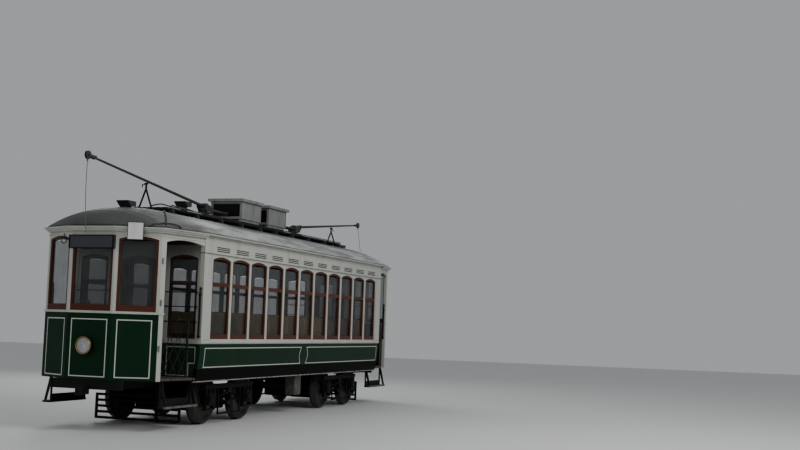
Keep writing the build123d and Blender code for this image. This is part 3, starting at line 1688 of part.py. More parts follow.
with BuildPart() as side_bar:
    with BuildSketch(across(side_bar_y + side_bar_width / 2)):
        Polygon(
            (bogie_x - side_bar_half, side_bar_top_z),
            (bogie_x - side_bar_half, side_bar_z + side_bar_chamfer),
            (bogie_x - side_bar_half + side_bar_chamfer, side_bar_z),
            (bogie_x + side_bar_half - side_bar_chamfer, side_bar_z),
            (bogie_x + side_bar_half, side_bar_z + side_bar_chamfer),
            (bogie_x + side_bar_half, side_bar_top_z),
            align=None,
        )
    extrude(amount=side_bar_width)

transom_inner_x = transom_x - transom_width / 2
transom_outer_x = transom_x + transom_width / 2
centre_frame = bogie_block(
    (-transom_inner_x, -centre_frame_half, transom_z),
    (transom_inner_x, centre_frame_half, transom_z + transom_height),
)
with BuildPart() as centre_plate:
    with BuildSketch(Plane.XY.offset(transom_z + transom_height)):
        with Locations((bogie_x, 0)):
            Circle(centre_plate_r)
    extrude(amount=swivel_play_z - seat_gap - transom_z - transom_height)
with BuildPart() as centre_pin:
    with BuildSketch(Plane.XY.offset(swivel_play_z - seat_gap)):
        with Locations((bogie_x, 0)):
            Circle(centre_pin_r)
    extrude(amount=centre_pin_height)
spring_plank = bogie_block(
    (-plank_half, -side_bar_y - side_bar_width / 2, plank_z),
    (plank_half, side_bar_y + side_bar_width / 2, plank_z + plank_thickness),
)
leaf_cap = bogie_block(
    (-leaf_cap_half, side_bar_inner_y, 2 * leaf_eye_z - plank_z - plank_thickness),
    (leaf_cap_half, side_bar_inner_y + side_bar_width, side_bar_z),
)
bogie_solids = [centre_frame, centre_plate.part, centre_pin.part, spring_plank]
bogie_solids += [leaf_cap, leaf_cap.mirror(Plane.XZ)]
bogie_solids += [side_bar.part, side_bar.part.mirror(Plane.XZ)]

for sign in (1, -1):
    xs = sorted((sign * transom_inner_x, sign * transom_outer_x))
    bogie_solids.append(
        bogie_block(
            (xs[0], -side_bar_inner_y, transom_z), (xs[1], side_bar_inner_y, transom_z + transom_height)
        )
    )
    bogie_solids += [leaf(sign), leaf(sign).mirror(Plane.XZ)]

for low_x, high_x in (
    (axle_offset - pedestal_x, axle_offset - axlebox_width / 2),
    (axle_offset + axlebox_width / 2, axle_offset + pedestal_x),
):
    pedestal = bogie_block(
        (low_x, side_bar_inner_y, pedestal_bottom_z + tie_bar_height),
        (high_x, side_bar_inner_y + side_bar_width, side_bar_z),
    )
    bogie_solids += four_ways(pedestal)
tie_bar = bogie_block(
    (axle_offset - pedestal_x, side_bar_inner_y, pedestal_bottom_z),
    (axle_offset + pedestal_x, side_bar_inner_y + side_bar_width, pedestal_bottom_z + tie_bar_height),
)
bogie_solids += four_ways(tie_bar)

with BuildPart() as axlebox:
    with BuildSketch(across(axlebox_outer_y)):
        with Locations((bogie_x + axle_offset, axle_z)):
            RectangleRounded(axlebox_width, axlebox_height, axlebox_round)
    extrude(amount=axlebox_depth)
    with BuildSketch(across(axlebox_outer_y + axlebox_lid_thickness)):
        with Locations((bogie_x + axle_offset, axle_z)):
            Circle(axlebox_lid_r)
    extrude(amount=axlebox_lid_thickness + 1)
    with BuildSketch(across(hub_front_y + bore_depth)):
        with Locations((bogie_x + axle_offset, axle_z)):
            Circle(journal_r + running_gap)
    extrude(amount=bore_depth, mode=Mode.SUBTRACT)
bogie_solids += four_ways(axlebox.part)
box_spring_z = axle_z + axlebox_height / 2
box_spring_place = (bogie_x + axle_offset, side_bar_y, box_spring_z)
box_spring = ribbed_spring(box_spring_place, coil_r, coil_groove, coil_rings, side_bar_z - box_spring_z)
bogie_solids += four_ways(box_spring)

# Brake shoes on the inner side of each wheel, hung from the transoms
shoe_r = tread_r + shoe_gap
with BuildPart() as brake_shoe:
    with BuildSketch(across(shoe_outer_y)):
        with BuildLine():
            for radius in (shoe_r, shoe_r + shoe_thickness):
                ThreePointArc(
                    *[
                        (
                            bogie_x + axle_offset - radius * cos(radians(angle)),
                            axle_z + radius * sin(radians(angle)),
                        )
                        for angle in (-shoe_half_angle, 0, shoe_half_angle)
                    ]
                )
            for angle in (-shoe_half_angle, shoe_half_angle):
                Polyline(
                    *[
                        (
                            bogie_x + axle_offset - radius * cos(radians(angle)),
                            axle_z + radius * sin(radians(angle)),
                        )
                        for radius in (shoe_r, shoe_r + shoe_thickness)
                    ]
                )
        make_face()
    extrude(amount=shoe_outer_y - shoe_inner_y)
bogie_solids += four_ways(brake_shoe.part)
shoe_back_x = axle_offset - shoe_r - shoe_thickness
hanger = bogie_block(
    (transom_outer_x, shoe_inner_y + shoe_hanger_inset, axle_z - 40),
    (shoe_back_x, shoe_outer_y - shoe_hanger_inset, axle_z + 40),
)
hanger_arm = bogie_block(
    (transom_outer_x, shoe_inner_y + shoe_hanger_inset, axle_z + 40),
    (transom_outer_x + 24, shoe_outer_y - shoe_hanger_inset, transom_z + transom_height - 10),
)
bogie_solids += four_ways(hanger) + four_ways(hanger_arm)

# Drop bars under the side bars, tied together along the bottom
drop_bar = bogie_block(
    (drop_bar_x - drop_bar_width / 2, side_bar_y + 5, drop_bar_z + drop_bar_tie),
    (drop_bar_x + drop_bar_width / 2, side_bar_y + 25, side_bar_z),
)
bogie_solids += four_ways(drop_bar)
drop_tie = bogie_block(
    (-drop_bar_x - drop_bar_width / 2, side_bar_y, drop_bar_z),
    (drop_bar_x + drop_bar_width / 2, side_bar_y + 30, drop_bar_z + drop_bar_tie),
)
bogie_solids += [drop_tie, drop_tie.mirror(Plane.XZ)]
bogie_frame_front = group(*bogie_solids)
pieces["bogie_frame_front"] = bogie_frame_front
pieces["bogie_frame_rear"] = mirrored(bogie_frame_front, Plane.YZ)

# Motors: one plain block between each axle and the transoms
motor_round = 60
motor_x = transom_outer_x + motor_length / 2
with BuildPart() as motors_front:
    for sign in (1, -1):
        with BuildSketch(across(motor_width / 2)):
            with Locations((bogie_x + sign * motor_x, (motor_bottom_z + motor_top_z) / 2)):
                RectangleRounded(motor_length, motor_top_z - motor_bottom_z, motor_round)
        extrude(amount=motor_width)
pieces["motors_front"] = motors_front.part
pieces["motors_rear"] = motors_front.part.mirror(Plane.YZ)

# Wheelsets: the axle with both wheels and its journals, one solid each
wheel_front_y = wheel_back_y + tyre_width
web_y = wheel_back_y + web_inset
journal_end_y = hub_front_y + journal_length
flange_crest = 8


def wheelset(axle_x):
    # half the section, y outwards and radius up, turned round the axle and mirrored
    section = [
        (0, 0),
        (0, axle_r),
        (wheel_back_y - hub_back_reach, axle_r),
        (wheel_back_y - hub_back_reach, hub_r),
        (web_y, hub_r),
        (web_y, tread_r - rim_depth),
        (wheel_back_y, tread_r - rim_depth),
        (wheel_back_y, tread_r + flange_height),
        (wheel_back_y + flange_width - flange_crest, tread_r + flange_height),
        (wheel_back_y + flange_width, tread_r),
        (wheel_front_y, tread_r - tread_taper),
        (wheel_front_y, tread_r - rim_depth),
        (web_y + web_thickness, tread_r - rim_depth),
        (web_y + web_thickness, hub_r),
        (hub_front_y, hub_r),
        (hub_front_y, journal_r),
        (journal_end_y, journal_r),
        (journal_end_y, 0),
    ]
    with BuildPart() as turned:
        with BuildSketch(Plane(origin=(axle_x, 0, axle_z), x_dir=(0, 1, 0), z_dir=(1, 0, 0))):
            with BuildLine():
                Polyline(*section, close=True)
            make_face()
        revolve(axis=Axis((axle_x, 0, axle_z), (0, 1, 0)))
        mirror(about=Plane.XZ)
    return turned.part


wheelset_places = [
    ("wheelset_1", bogie_x + axle_offset),
    ("wheelset_2", bogie_x - axle_offset),
    ("wheelset_3", -bogie_x + axle_offset),
    ("wheelset_4", -bogie_x - axle_offset),
]
for name, axle_x in wheelset_places:
    pieces[name] = wheelset(axle_x)

os.makedirs("parts", exist_ok=True)
for name, shape in pieces.items():
    shape.label = name
    export_step(shape, f"parts/{name}.step")
print(len(pieces), "pieces")
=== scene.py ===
import bmesh
import bpy
import numpy as np
from mathutils import Matrix, Vector
from mathutils.bvhtree import BVHTree


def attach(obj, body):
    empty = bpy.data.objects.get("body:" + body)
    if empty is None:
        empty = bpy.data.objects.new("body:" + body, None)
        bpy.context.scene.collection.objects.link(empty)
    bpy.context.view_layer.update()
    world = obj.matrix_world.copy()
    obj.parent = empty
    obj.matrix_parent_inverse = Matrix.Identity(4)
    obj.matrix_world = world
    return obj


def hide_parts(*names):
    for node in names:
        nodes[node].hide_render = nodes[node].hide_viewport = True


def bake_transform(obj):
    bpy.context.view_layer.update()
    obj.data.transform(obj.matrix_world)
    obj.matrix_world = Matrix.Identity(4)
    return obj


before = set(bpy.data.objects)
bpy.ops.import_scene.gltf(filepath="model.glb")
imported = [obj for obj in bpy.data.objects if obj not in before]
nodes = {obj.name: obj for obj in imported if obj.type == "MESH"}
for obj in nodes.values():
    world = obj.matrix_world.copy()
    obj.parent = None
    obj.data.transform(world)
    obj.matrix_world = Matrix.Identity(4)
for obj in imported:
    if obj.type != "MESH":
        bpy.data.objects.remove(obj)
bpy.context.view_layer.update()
scene = bpy.context.scene

# The camera, solved from the picture's own lines: its place, then its right, up and back directions
cameraPlace = Vector((19.476, 9.735, 1.62))
cameraRight = Vector((-0.32702962, 0.94445851, 0.0324))
cameraUp = Vector((0.09516562, -0.00119746, 0.99546073))
cameraBack = Vector((0.94021015, 0.32862851, -0.08948837))
cameraData = bpy.data.cameras.new("camera")
cameraData.lens = 51.75
cameraData.sensor_width = 36
cameraData.clip_end = 200
camera = bpy.data.objects.new("camera", cameraData)
turn = Matrix((cameraRight, cameraUp, cameraBack)).transposed().to_4x4()
camera.matrix_world = Matrix.Translation(cameraPlace) @ turn
scene.collection.objects.link(camera)
scene.camera = camera
print("camera placed")


class Shade:
    # a socket of a material, so that its maths can be written as an expression
    def __init__(self, tree, socket):
        self.tree = tree
        self.socket = socket

    def node(self, kind, settings=None, values=None, output=0):
        # any node: its settings are set first, then the values or links of its sockets
        made = self.tree.nodes.new("ShaderNode" + kind)
        for key, value in (settings or {}).items():
            if key == "stops":
                ramp = made.color_ramp.elements
                while len(ramp) < len(value):
                    ramp.new(1)
                for element, (place, colour) in zip(ramp, value):
                    element.position = place
                    element.color = (*colour, 1)
            else:
                setattr(made, key, value)
        for key, value in (values or {}).items():
            if isinstance(value, Shade):
                self.tree.links.new(value.socket, made.inputs[key])
            else:
                made.inputs[key].default_value = value
        return Shade(self.tree, made.outputs[output])

    def sum(self, operation, *values):
        return self.node("Math", {"operation": operation}, dict(enumerate(values)))

    def __add__(self, other):
        return self.sum("ADD", self, other)

    __radd__ = __add__

    def __sub__(self, other):
        return self.sum("SUBTRACT", self, other)

    def __rsub__(self, other):
        return self.sum("SUBTRACT", other, self)

    def __mul__(self, other):
        return self.sum("MULTIPLY", self, other)

    __rmul__ = __mul__

    def __gt__(self, other):
        return self.sum("GREATER_THAN", self, other)

    def __lt__(self, other):
        return self.sum("LESS_THAN", self, other)

    def abs(self):
        return self.sum("ABSOLUTE", self)

    def within(self, low, high):
        # 1 where the value lies between the two
        return (self > low) * (self < high)

    def ease(self, low, high):
        # rises from 0 at low to 1 at high
        return self.node(
            "MapRange", {"interpolation_type": "SMOOTHSTEP"}, {"Value": self, "From Min": low, "From Max": high}
        )

    def part(self, axis):
        # one of X, Y and Z, numbered 0, 1, 2
        return self.node("SeparateXYZ", values={0: self}, output=axis)

    def noise(self, scale, detail=3, rough=0.55, by=(1, 1, 1)):
        source = self if by == (1, 1, 1) else self.node("VectorMath", {"operation": "MULTIPLY"}, {0: self, 1: by})
        return self.node("TexNoise", values={"Vector": source, "Scale": scale, "Detail": detail, "Roughness": rough})

    def spots(self, scale):
        return self.node("TexVoronoi", values={"Vector": self, "Scale": scale})

    def waves(self, scale, direction):
        return self.node("TexWave", {"bands_direction": direction}, {"Vector": self, "Scale": scale})

    def tint(self, low, high):
        # a colour that goes from low to high as the value goes from 0 to 1
        return self.node("ValToRGB", {"stops": [(0, low), (1, high)]}, {0: self})

    def over(self, under, top):
        # the top colour laid over the one under it, where the mask is 1
        under = under if isinstance(under, Shade) else (*under, 1)
        top = top if isinstance(top, Shade) else (*top, 1)
        return self.node("Mix", {"data_type": "RGBA"}, {0: self, 6: under, 7: top}, 2)

    def relief(self, strength, distance):
        return self.node("Bump", values={"Strength": strength, "Distance": distance, "Height": self})


def newFinish(name, build, fixed):
    # a Principled material: fixed numbers on its own sockets, and what varies from build
    material = bpy.data.materials.new(name)
    material.use_nodes = True
    tree = material.node_tree
    shader = tree.nodes["Principled BSDF"]
    for key, value in fixed.items():
        shader.inputs[key].default_value = value
    coords = Shade(tree, tree.nodes.new("ShaderNodeTexCoord").outputs["Object"])
    for key, value in build(coords).items():
        tree.links.new(value.socket, shader.inputs[key])
    return material


def grain(coords, by, low, high, rough=0.32):
    # wood: long streaks along the member, fine pores, and a slow change of tone
    streak = coords.noise(9, 5, 0.6, by)
    pores = coords.noise(70, 2, 0.5, by)
    slow = coords.noise(1.3, 2)
    tone = streak * 0.7 + slow * 0.5 - 0.1
    return {
        "Base Color": tone.tint(low, high),
        "Roughness": pores * 0.25 + rough,
        "Normal": (streak + pores * 0.4).relief(0.25, 0.001),
    }


# Heights, widths and places on the car, in metres, that the finishes change at
marks = {
    "rockerBead": 0.7185, "grimeAndShade": (2.6645, 2.680), "insideY": 1.112, "insideX": 3.86, "belt": 1.284,
    "ceilingShade": (2.35, 2.80), "boardAndShade": 2.79, "sashRails": ((1.3605, 1.436), (2.1755, 2.239), (1.735, 1.826)),
    "tread": (0.341, 0.3725), "nosing": (1.00, 1.065), "wheelTread": (0.708, 0.789), "boxFoot": (0.335, 0.45),
    "signEdge": 0.3638, "upperPane": 2.205, "endPanes": (4.2, 4.6), "doorHalf": 0.6, "plank": 0.09, "cane": 0.007,
}
paintSettings = {
    "cream": ((0.36, 0.366, 0.318), (0.50, 0.506, 0.452)),
    "green": ((0.0035, 0.0170, 0.0080), (0.0065, 0.0290, 0.0140)),
    "black": ((0.003, 0.003, 0.003), (0.009, 0.0088, 0.0085)),
    "dirt": (0.16, 0.14, 0.11), "darkDirt": (0.016, 0.017, 0.013),
    "line": (0.56, 0.57, 0.50),
    "brushMark": 0.0006,
}


def gloss(coords, low, high, dirtAmount, rough, dirtName="dirt"):
    # old gloss paint: cloudy tone, thin dirt that runs down in streaks, brush marks, fine chips
    cloud = coords.noise(1.7, 4)
    streak = coords.noise(5, 4, 0.6, (1, 1, 0.12))
    chip = coords.noise(34, 3, 0.7).ease(0.70, 0.76)
    brushed = coords.noise(60, 2, 0.5, (0.25, 0.25, 1.6))
    dirt = streak.ease(0.48, 0.78) * dirtAmount
    colour = dirt.over(cloud.tint(low, high), paintSettings[dirtName])
    return {
        "Base Color": (chip * 0.35).over(colour, paintSettings[dirtName]),
        "Roughness": cloud * 0.18 + dirt * 0.3 + rough,
        "Normal": (brushed * 0.5 + cloud - chip * 0.4).relief(0.22, paintSettings["brushMark"]),
    }


def creamBuild(coords):
    return gloss(coords, *paintSettings["cream"], 0.30, 0.30)


def greenBuild(coords):
    return gloss(coords, *paintSettings["green"], 0.25, 0.20, "darkDirt")


def blackBuild(coords):
    return gloss(coords, *paintSettings["black"], 0.30, 0.42, "darkDirt")


def rockerBuild(coords):
    # dull black, painted darker than the other black paint as painted shade against the light thrown up from the floor,
    # with the paint rubbed off the bead along its foot
    base = gloss(coords, (0.0015, 0.0015, 0.0014), (0.004, 0.0039, 0.0037), 0.15, 0.45, "darkDirt")
    foot = coords.part(2) < marks["rockerBead"]
    worn = foot * coords.noise(22, 4).ease(0.30, 0.52)
    base["Base Color"] = worn.over(base["Base Color"], (0.30, 0.29, 0.26))
    return base


def frameBuild(coords):
    # cream outside, with painted shade in a dark line under the letterboard; varnished brown inside the saloon
    base = gloss(coords, *paintSettings["cream"], 0.30, 0.30)
    # painted shade: a dark line in the corner between the bead and the letterboard, where the board's shadow falls
    grimeAndShade = coords.part(2).within(*marks["grimeAndShade"]) * 0.8
    base["Base Color"] = grimeAndShade.over(base["Base Color"], (0.05, 0.048, 0.040))
    brown = grain(coords, (1, 1, 0.08), (0.034, 0.010, 0.006), (0.115, 0.038, 0.022))
    inside = (coords.part(1).abs() < marks["insideY"]) * (coords.part(0).abs() < marks["insideX"])
    base["Base Color"] = inside.over(base["Base Color"], brown["Base Color"])
    return base


def bulkheadBuild(coords):
    # cream down to the belt and green under it, with painted shade from the platform ceiling growing towards the top,
    # and a dark varnished board across the top that is also painted shade
    base = gloss(coords, *paintSettings["cream"], 0.30, 0.32)
    z = coords.part(2)
    cloud = coords.noise(1.7, 4)
    colour = (z < marks["belt"]).over(base["Base Color"], cloud.tint(*paintSettings["green"]))
    # painted shade from the platform ceiling, darker towards the top
    colour = (z.ease(*marks["ceilingShade"]) * 0.75).over(colour, (0.075, 0.068, 0.058))
    # the board across the top: a varnish colour, kept dark as painted shade
    varnishAndShade = cloud.tint((0.020, 0.010, 0.007), (0.050, 0.022, 0.014))
    base["Base Color"] = (z > marks["boardAndShade"]).over(colour, varnishAndShade)
    return base


def mahoganyBuild(coords):
    # rails have their grain along the car and stiles upright: the rails are told by their height
    z = coords.part(2)
    sideFoot, sideMiddle, endFoot = marks["sashRails"]
    rail = z.within(*sideFoot) + z.within(*sideMiddle) + z.within(*endFoot)
    upright = grain(coords, (1, 1, 0.08), (0.026, 0.007, 0.004), (0.090, 0.027, 0.015))
    level = grain(coords, (0.08, 0.3, 1), (0.034, 0.009, 0.005), (0.110, 0.033, 0.017))
    return {
        "Base Color": rail.over(upright["Base Color"], level["Base Color"]),
        "Roughness": upright["Roughness"],
        "Normal": upright["Normal"],
    }


def boardBuild(coords):
    # planks along the car, with a dark joint between one plank and the next
    across = coords.part(1) * (1 / marks["plank"])
    place = across.sum("FRACT", across)
    joint = (place - 0.5).abs() > 0.465
    base = grain(coords, (0.06, 1, 1), (0.022, 0.017, 0.012), (0.085, 0.066, 0.046), 0.6)
    base["Base Color"] = joint.over(base["Base Color"], (0.010, 0.008, 0.007))
    return base


def weatheredBuild(coords):
    # bare boards gone grey on top, nearly black on their edges and brackets
    base = grain(coords, (0.05, 1, 1), (0.060, 0.061, 0.056), (0.17, 0.17, 0.16), 0.7)
    up = coords.node("NewGeometry", output=1).part(2).ease(0.5, 0.9)
    edges = coords.noise(9, 4).tint((0.008, 0.008, 0.008), (0.030, 0.029, 0.027))
    base["Base Color"] = up.over(edges, base["Base Color"])
    return base


roofSettings = {
    "clothWidth": 0.92, "seamWidth": 0.014, "low": (0.036, 0.038, 0.036), "high": (0.105, 0.108, 0.103),
    "pale": (0.52, 0.53, 0.52), "foot": (2.982, 2.998),
}


def roofBuild(coords):
    # painted canvas in widths across the car, sewn over each other, pale along the eaves as chalky paint and painted
    # sheen, the front hood left darker as painted shade, and dark at its foot
    s = roofSettings
    along = coords.part(0) * (1 / s["clothWidth"])
    seam = (along.sum("FRACT", along) - 0.5).abs() > 0.5 - s["seamWidth"] / s["clothWidth"]
    cloud = coords.noise(0.9, 5, 0.6)
    marks = coords.noise(4, 5, 0.65, (0.22, 1, 1))
    grit = coords.noise(45, 4, 0.7)
    tone = cloud * 0.75 + marks * 0.55 + grit * 0.12 - 0.25
    # painted sheen along the eaves, cut back over the front hood (positive x only), which is painted as in shade
    side = coords.part(1).abs().ease(0.50, 0.95) * (1 - coords.part(0).ease(3.2, 4.3) * 0.85)
    # pale streaks: partly chalky paint, partly painted sheen
    pale = side * (marks.ease(0.40, 0.62) * 0.6 + 0.3)
    colour = pale.over(tone.tint(s["low"], s["high"]), s["pale"])
    colour = (seam * 0.25).over(colour, (0.04, 0.04, 0.038))
    foot = 1 - coords.part(2).ease(*s["foot"])
    colour = (foot * 0.75).over(colour, (0.022, 0.022, 0.021))
    under = 1 - coords.node("NewGeometry", output=1).part(2).ease(-0.3, 0.0)
    return {
        "Base Color": under.over(colour, cloud.tint((0.020, 0.012, 0.008), (0.060, 0.032, 0.020))),
        "Roughness": cloud * 0.30 + 0.40,
        "Normal": (cloud * 2 + marks + grit * 0.3 + seam * 0.5).relief(0.3, 0.003),
    }


def castBuild(coords):
    # black castings under dust, with rust in the hollows
    dust = coords.noise(6, 4).ease(0.42, 0.75)
    rust = coords.noise(17, 5, 0.65).ease(0.56, 0.72)
    pits = coords.noise(90, 3)
    up = coords.node("NewGeometry", output=1).part(2).ease(0.4, 1.0)
    colour = (dust * 0.5).over((0.003, 0.0028, 0.0026), (0.018, 0.016, 0.013))
    colour = (rust * 0.5).over(colour, (0.026, 0.011, 0.006))
    return {
        "Base Color": (up * 0.25).over(colour, (0.050, 0.046, 0.039)),
        "Roughness": pits * 0.3 + dust * 0.2 + 0.45,
        "Normal": pits.relief(0.4, 0.002),
    }


def ironBuild(coords):
    # blackened bars, rubbed to a dull shine where hands and feet go
    worn = coords.noise(14, 4).ease(0.50, 0.74)
    return {
        "Base Color": (worn * 0.5).over((0.004, 0.004, 0.004), (0.040, 0.038, 0.036)),
        "Roughness": 0.55 - worn * 0.2,
        "Normal": coords.noise(120, 2).relief(0.25, 0.0008),
    }


def stepBuild(coords):
    # dark boards with a pale worn nosing
    base = castBuild(coords)
    tread = coords.part(2).within(*marks["tread"])
    edge = tread * coords.part(1).abs().ease(*marks["nosing"]) * coords.noise(16, 4).ease(0.30, 0.55)
    base["Base Color"] = (edge * 0.7).over(base["Base Color"], (0.20, 0.19, 0.17))
    return base


def wheelBuild(coords):
    # dusty discs and a paler tread: the tread is told by how far it stands from the middle of the car
    base = castBuild(coords)
    ring = coords.part(1).abs().within(*marks["wheelTread"])
    base["Base Color"] = (ring * 0.5).over(base["Base Color"], (0.09, 0.082, 0.074))
    return base


def sheetBuild(coords):
    # grey paint on sheet, chalky, with soot running from under the lids
    chalk = coords.noise(2.3, 5, 0.6)
    soot = coords.noise(7, 4, 0.6, (1, 1, 0.2)).ease(0.45, 0.75)
    colour = chalk.tint((0.125, 0.129, 0.121), (0.25, 0.254, 0.244))
    return {
        "Base Color": (soot * 0.55).over(colour, (0.055, 0.053, 0.048)),
        "Roughness": chalk * 0.2 + 0.45,
        "Normal": (chalk + coords.noise(80, 2) * 0.2).relief(0.25, 0.0015),
    }


def ventBuild(coords):
    chalk = coords.noise(5, 5, 0.6)
    return {
        "Base Color": chalk.tint((0.012, 0.013, 0.012), (0.040, 0.041, 0.039)),
        "Roughness": chalk * 0.25 + 0.45,
        "Normal": coords.noise(80, 2).relief(0.2, 0.001),
    }


def lampBuild(coords):
    # pale ribbed glass in front of a dull reflector
    haze = coords.noise(9, 4)
    return {
        "Base Color": haze.tint((0.20, 0.205, 0.20), (0.42, 0.42, 0.40)),
        "Roughness": haze * 0.12 + 0.06,
        "Normal": coords.noise(40, 2).relief(0.1, 0.0006),
    }


def boxBuild(coords):
    # galvanised sheet gone dull, with grime low down and round the lid
    bloom = coords.spots(16)
    grimeAndShade = coords.noise(8, 5, 0.65)
    low = 1 - coords.part(2).ease(*marks["boxFoot"])
    colour = bloom.tint((0.045, 0.044, 0.040), (0.11, 0.106, 0.096))
    return {
        "Base Color": (grimeAndShade.ease(0.42, 0.7) * 0.6 + low * 0.3).over(colour, (0.06, 0.052, 0.042)),
        "Roughness": grimeAndShade * 0.3 + 0.4,
        "Normal": (grimeAndShade + bloom * 0.2).relief(0.3, 0.002),
    }


def signBuild(coords):
    # a blank dark roll behind glass in a black frame
    edge = coords.part(1).abs() > marks["signEdge"]
    cloth = coords.noise(400, 2)
    colour = coords.noise(3, 3).tint((0.006, 0.008, 0.014), (0.018, 0.022, 0.034))
    return {
        "Base Color": edge.over(colour, (0.01, 0.01, 0.01)),
        "Roughness": cloth * 0.2 + 0.22,
        "Normal": cloth.relief(0.1, 0.0005),
    }


def brassBuild(coords):
    tarnish = coords.noise(25, 4)
    return {
        "Base Color": tarnish.tint((0.16, 0.095, 0.035), (0.42, 0.28, 0.10)),
        "Roughness": tarnish * 0.35 + 0.22,
        "Normal": coords.noise(150, 2).relief(0.15, 0.0006),
    }


def steelBuild(coords):
    # oiled dark steel of the trolley gear, grey with weather on top
    film = coords.noise(9, 4)
    up = coords.node("NewGeometry", output=1).part(2).ease(0.3, 1.0)
    colour = film.tint((0.022, 0.022, 0.022), (0.07, 0.068, 0.064))
    return {
        "Base Color": (up * 0.4).over(colour, (0.15, 0.148, 0.14)),
        "Roughness": film * 0.35 + 0.38,
        "Normal": coords.noise(110, 3).relief(0.3, 0.001),
    }


def rattanBuild(coords):
    # woven cane: strands over and under each other, dark in the gaps. Along each axis they follow sin(pi x / pitch)
    angles = [coords.part(axis) * (3.1416 / marks["cane"]) for axis in range(3)]
    lengthwise, crosswise, upright = [angle.sum("SINE", angle) for angle in angles]
    weave = (lengthwise * crosswise + upright * crosswise).abs()
    age = coords.noise(5, 4)
    colour = age.tint((0.20, 0.120, 0.028), (0.48, 0.325, 0.095))
    return {
        "Base Color": (weave * 0.5).over(colour, (0.10, 0.055, 0.016)),
        "Roughness": age * 0.25 + 0.35,
        "Normal": (1 - weave).relief(0.5, 0.002),
    }


def glassBuild(coords):
    # old window glass: faint waves, smears, and a film of dust, paler on the saloon's upper panes and
    # thicker at the ends of the car and low in the doors
    film = coords.noise(3.5, 4)
    smear = coords.noise(11, 4, 0.6, (1, 1, 0.3)).ease(0.5, 0.8)
    upper = coords.part(2) > marks["upperPane"]
    end = coords.part(0).abs().ease(*marks["endPanes"])
    door = coords.part(1).abs() < marks["doorHalf"]
    dust = film.tint((0.015, 0.017, 0.018), (0.06, 0.064, 0.066))
    lower = (1 - upper) * (1 - end) * (door * 0.12 + 0.02)
    return {
        "Base Color": (upper * (1 - end)).over(dust, (0.11, 0.125, 0.13)),
        "Alpha": film * 0.16 + smear * 0.10 + end * 0.18 + lower + 0.18,
        "Roughness": smear * 0.12 + 0.03,
        "Normal": coords.noise(4, 2).relief(0.12, 0.004),
    }


def wireBuild(coords):
    return {
        "Base Color": coords.noise(20, 3).tint((0.010, 0.010, 0.010), (0.045, 0.044, 0.042)),
        "Roughness": coords.noise(60, 2) * 0.3 + 0.5,
    }


def ropeBuild(coords):
    # three strands laid round each other
    lay = coords.waves(55, "DIAGONAL")
    return {
        "Base Color": lay.tint((0.05, 0.045, 0.035), (0.16, 0.14, 0.105)),
        "Roughness": lay * 0.2 + 0.7,
        "Normal": lay.relief(0.5, 0.002),
    }


def plateBuild(coords):
    return gloss(coords, (0.55, 0.55, 0.53), (0.68, 0.68, 0.65), 0.22, 0.3)


def lineBuild(coords):
    worn = coords.noise(30, 4).ease(0.60, 0.72)
    return {
        "Base Color": (worn * 0.3).over(paintSettings["line"], (0.06, 0.10, 0.07)),
        "Roughness": worn * 0.2 + 0.32,
    }


finishSet = {
    "creamPaint": (creamBuild, {"Coat Weight": 0.15}),
    "framePaint": (frameBuild, {"Coat Weight": 0.15}),
    "greenPaint": (greenBuild, {"Specular IOR Level": 0.04}),
    "blackPaint": (blackBuild, {"Specular IOR Level": 0.12}),
    "rockerPaint": (rockerBuild, {"Specular IOR Level": 0.03}),
    "bulkheadPaint": (bulkheadBuild, {"Coat Weight": 0.1}),
    "mahogany": (mahoganyBuild, {"Specular IOR Level": 0.12}),
    "floorBoards": (boardBuild, {}),
    "roofCanvas": (roofBuild, {"Specular IOR Level": 0.25}),
    "roofPlanks": (weatheredBuild, {}),
    "greySheet": (sheetBuild, {}),
    "ventSheet": (ventBuild, {"Specular IOR Level": 0.3}),
    "lampGlass": (lampBuild, {"Coat Weight": 0.6}),
    "boxSheet": (boxBuild, {"Metallic": 0.3}),
    "trolleySteel": (steelBuild, {"Metallic": 0.6}),
    "castIron": (castBuild, {"Specular IOR Level": 0.12}),
    "wheelSteel": (wheelBuild, {"Metallic": 0.3}),
    "handIron": (ironBuild, {"Specular IOR Level": 0.25}),
    "stepWood": (stepBuild, {"Specular IOR Level": 0.2}),
    "signCloth": (signBuild, {"Coat Weight": 0.5}),
    "brass": (brassBuild, {"Metallic": 1.0}),
    "rattan": (rattanBuild, {}),
    "windowGlass": (glassBuild, {"IOR": 1.45}),
    "darkWire": (wireBuild, {"Metallic": 0.4}),
    "rope": (ropeBuild, {}),
    "whitePlate": (plateBuild, {"Coat Weight": 0.2}),
    "whiteLine": (lineBuild, {}),
}
finishes = {name: newFinish(name, build, fixed) for name, (build, fixed) in finishSet.items()}
# Start of a node's name: its finish. The first that fits is used
finishOf = {
    "underframe": "blackPaint", "saloon_floor": "floorBoards", "platform_floors": "floorBoards",
    "side_frame": "framePaint", "dado": "greenPaint", "rocker": "rockerPaint", "side_sashes": "mahogany",
    "bulkhead_sashes": "mahogany", "bulkhead": "bulkheadPaint", "saloon_door": "mahogany", "door_glass": "windowGlass",
    "window_glass": "windowGlass", "end_frame": "creamPaint", "end_sashes": "mahogany", "dash": "greenPaint",
    "cornice": "creamPaint", "roof_boards": "roofPlanks", "roof": "roofCanvas", "resistor": "greySheet",
    "ventilators": "ventSheet", "pole_stands": "blackPaint", "trolley_wheel": "trolleySteel", "trolley": "trolleySteel",
    "seats": "rattan", "controllers": "blackPaint", "hand_brakes": "handIron", "grab_rails": "handIron",
    "steps": "stepWood", "life_guards": "castIron", "couplers": "castIron", "gate": "handIron",
    "headlamps": "blackPaint", "destination": "signCloth", "equipment": "boxSheet", "bogie": "castIron",
    "motors": "castIron", "wheelset": "wheelSteel",
}
for name, node in nodes.items():
    key = next(start for start in finishOf if name.startswith(start))
    node.data.materials.clear()
    node.data.materials.append(finishes[finishOf[key]])
print("finishes made:", len(finishes))


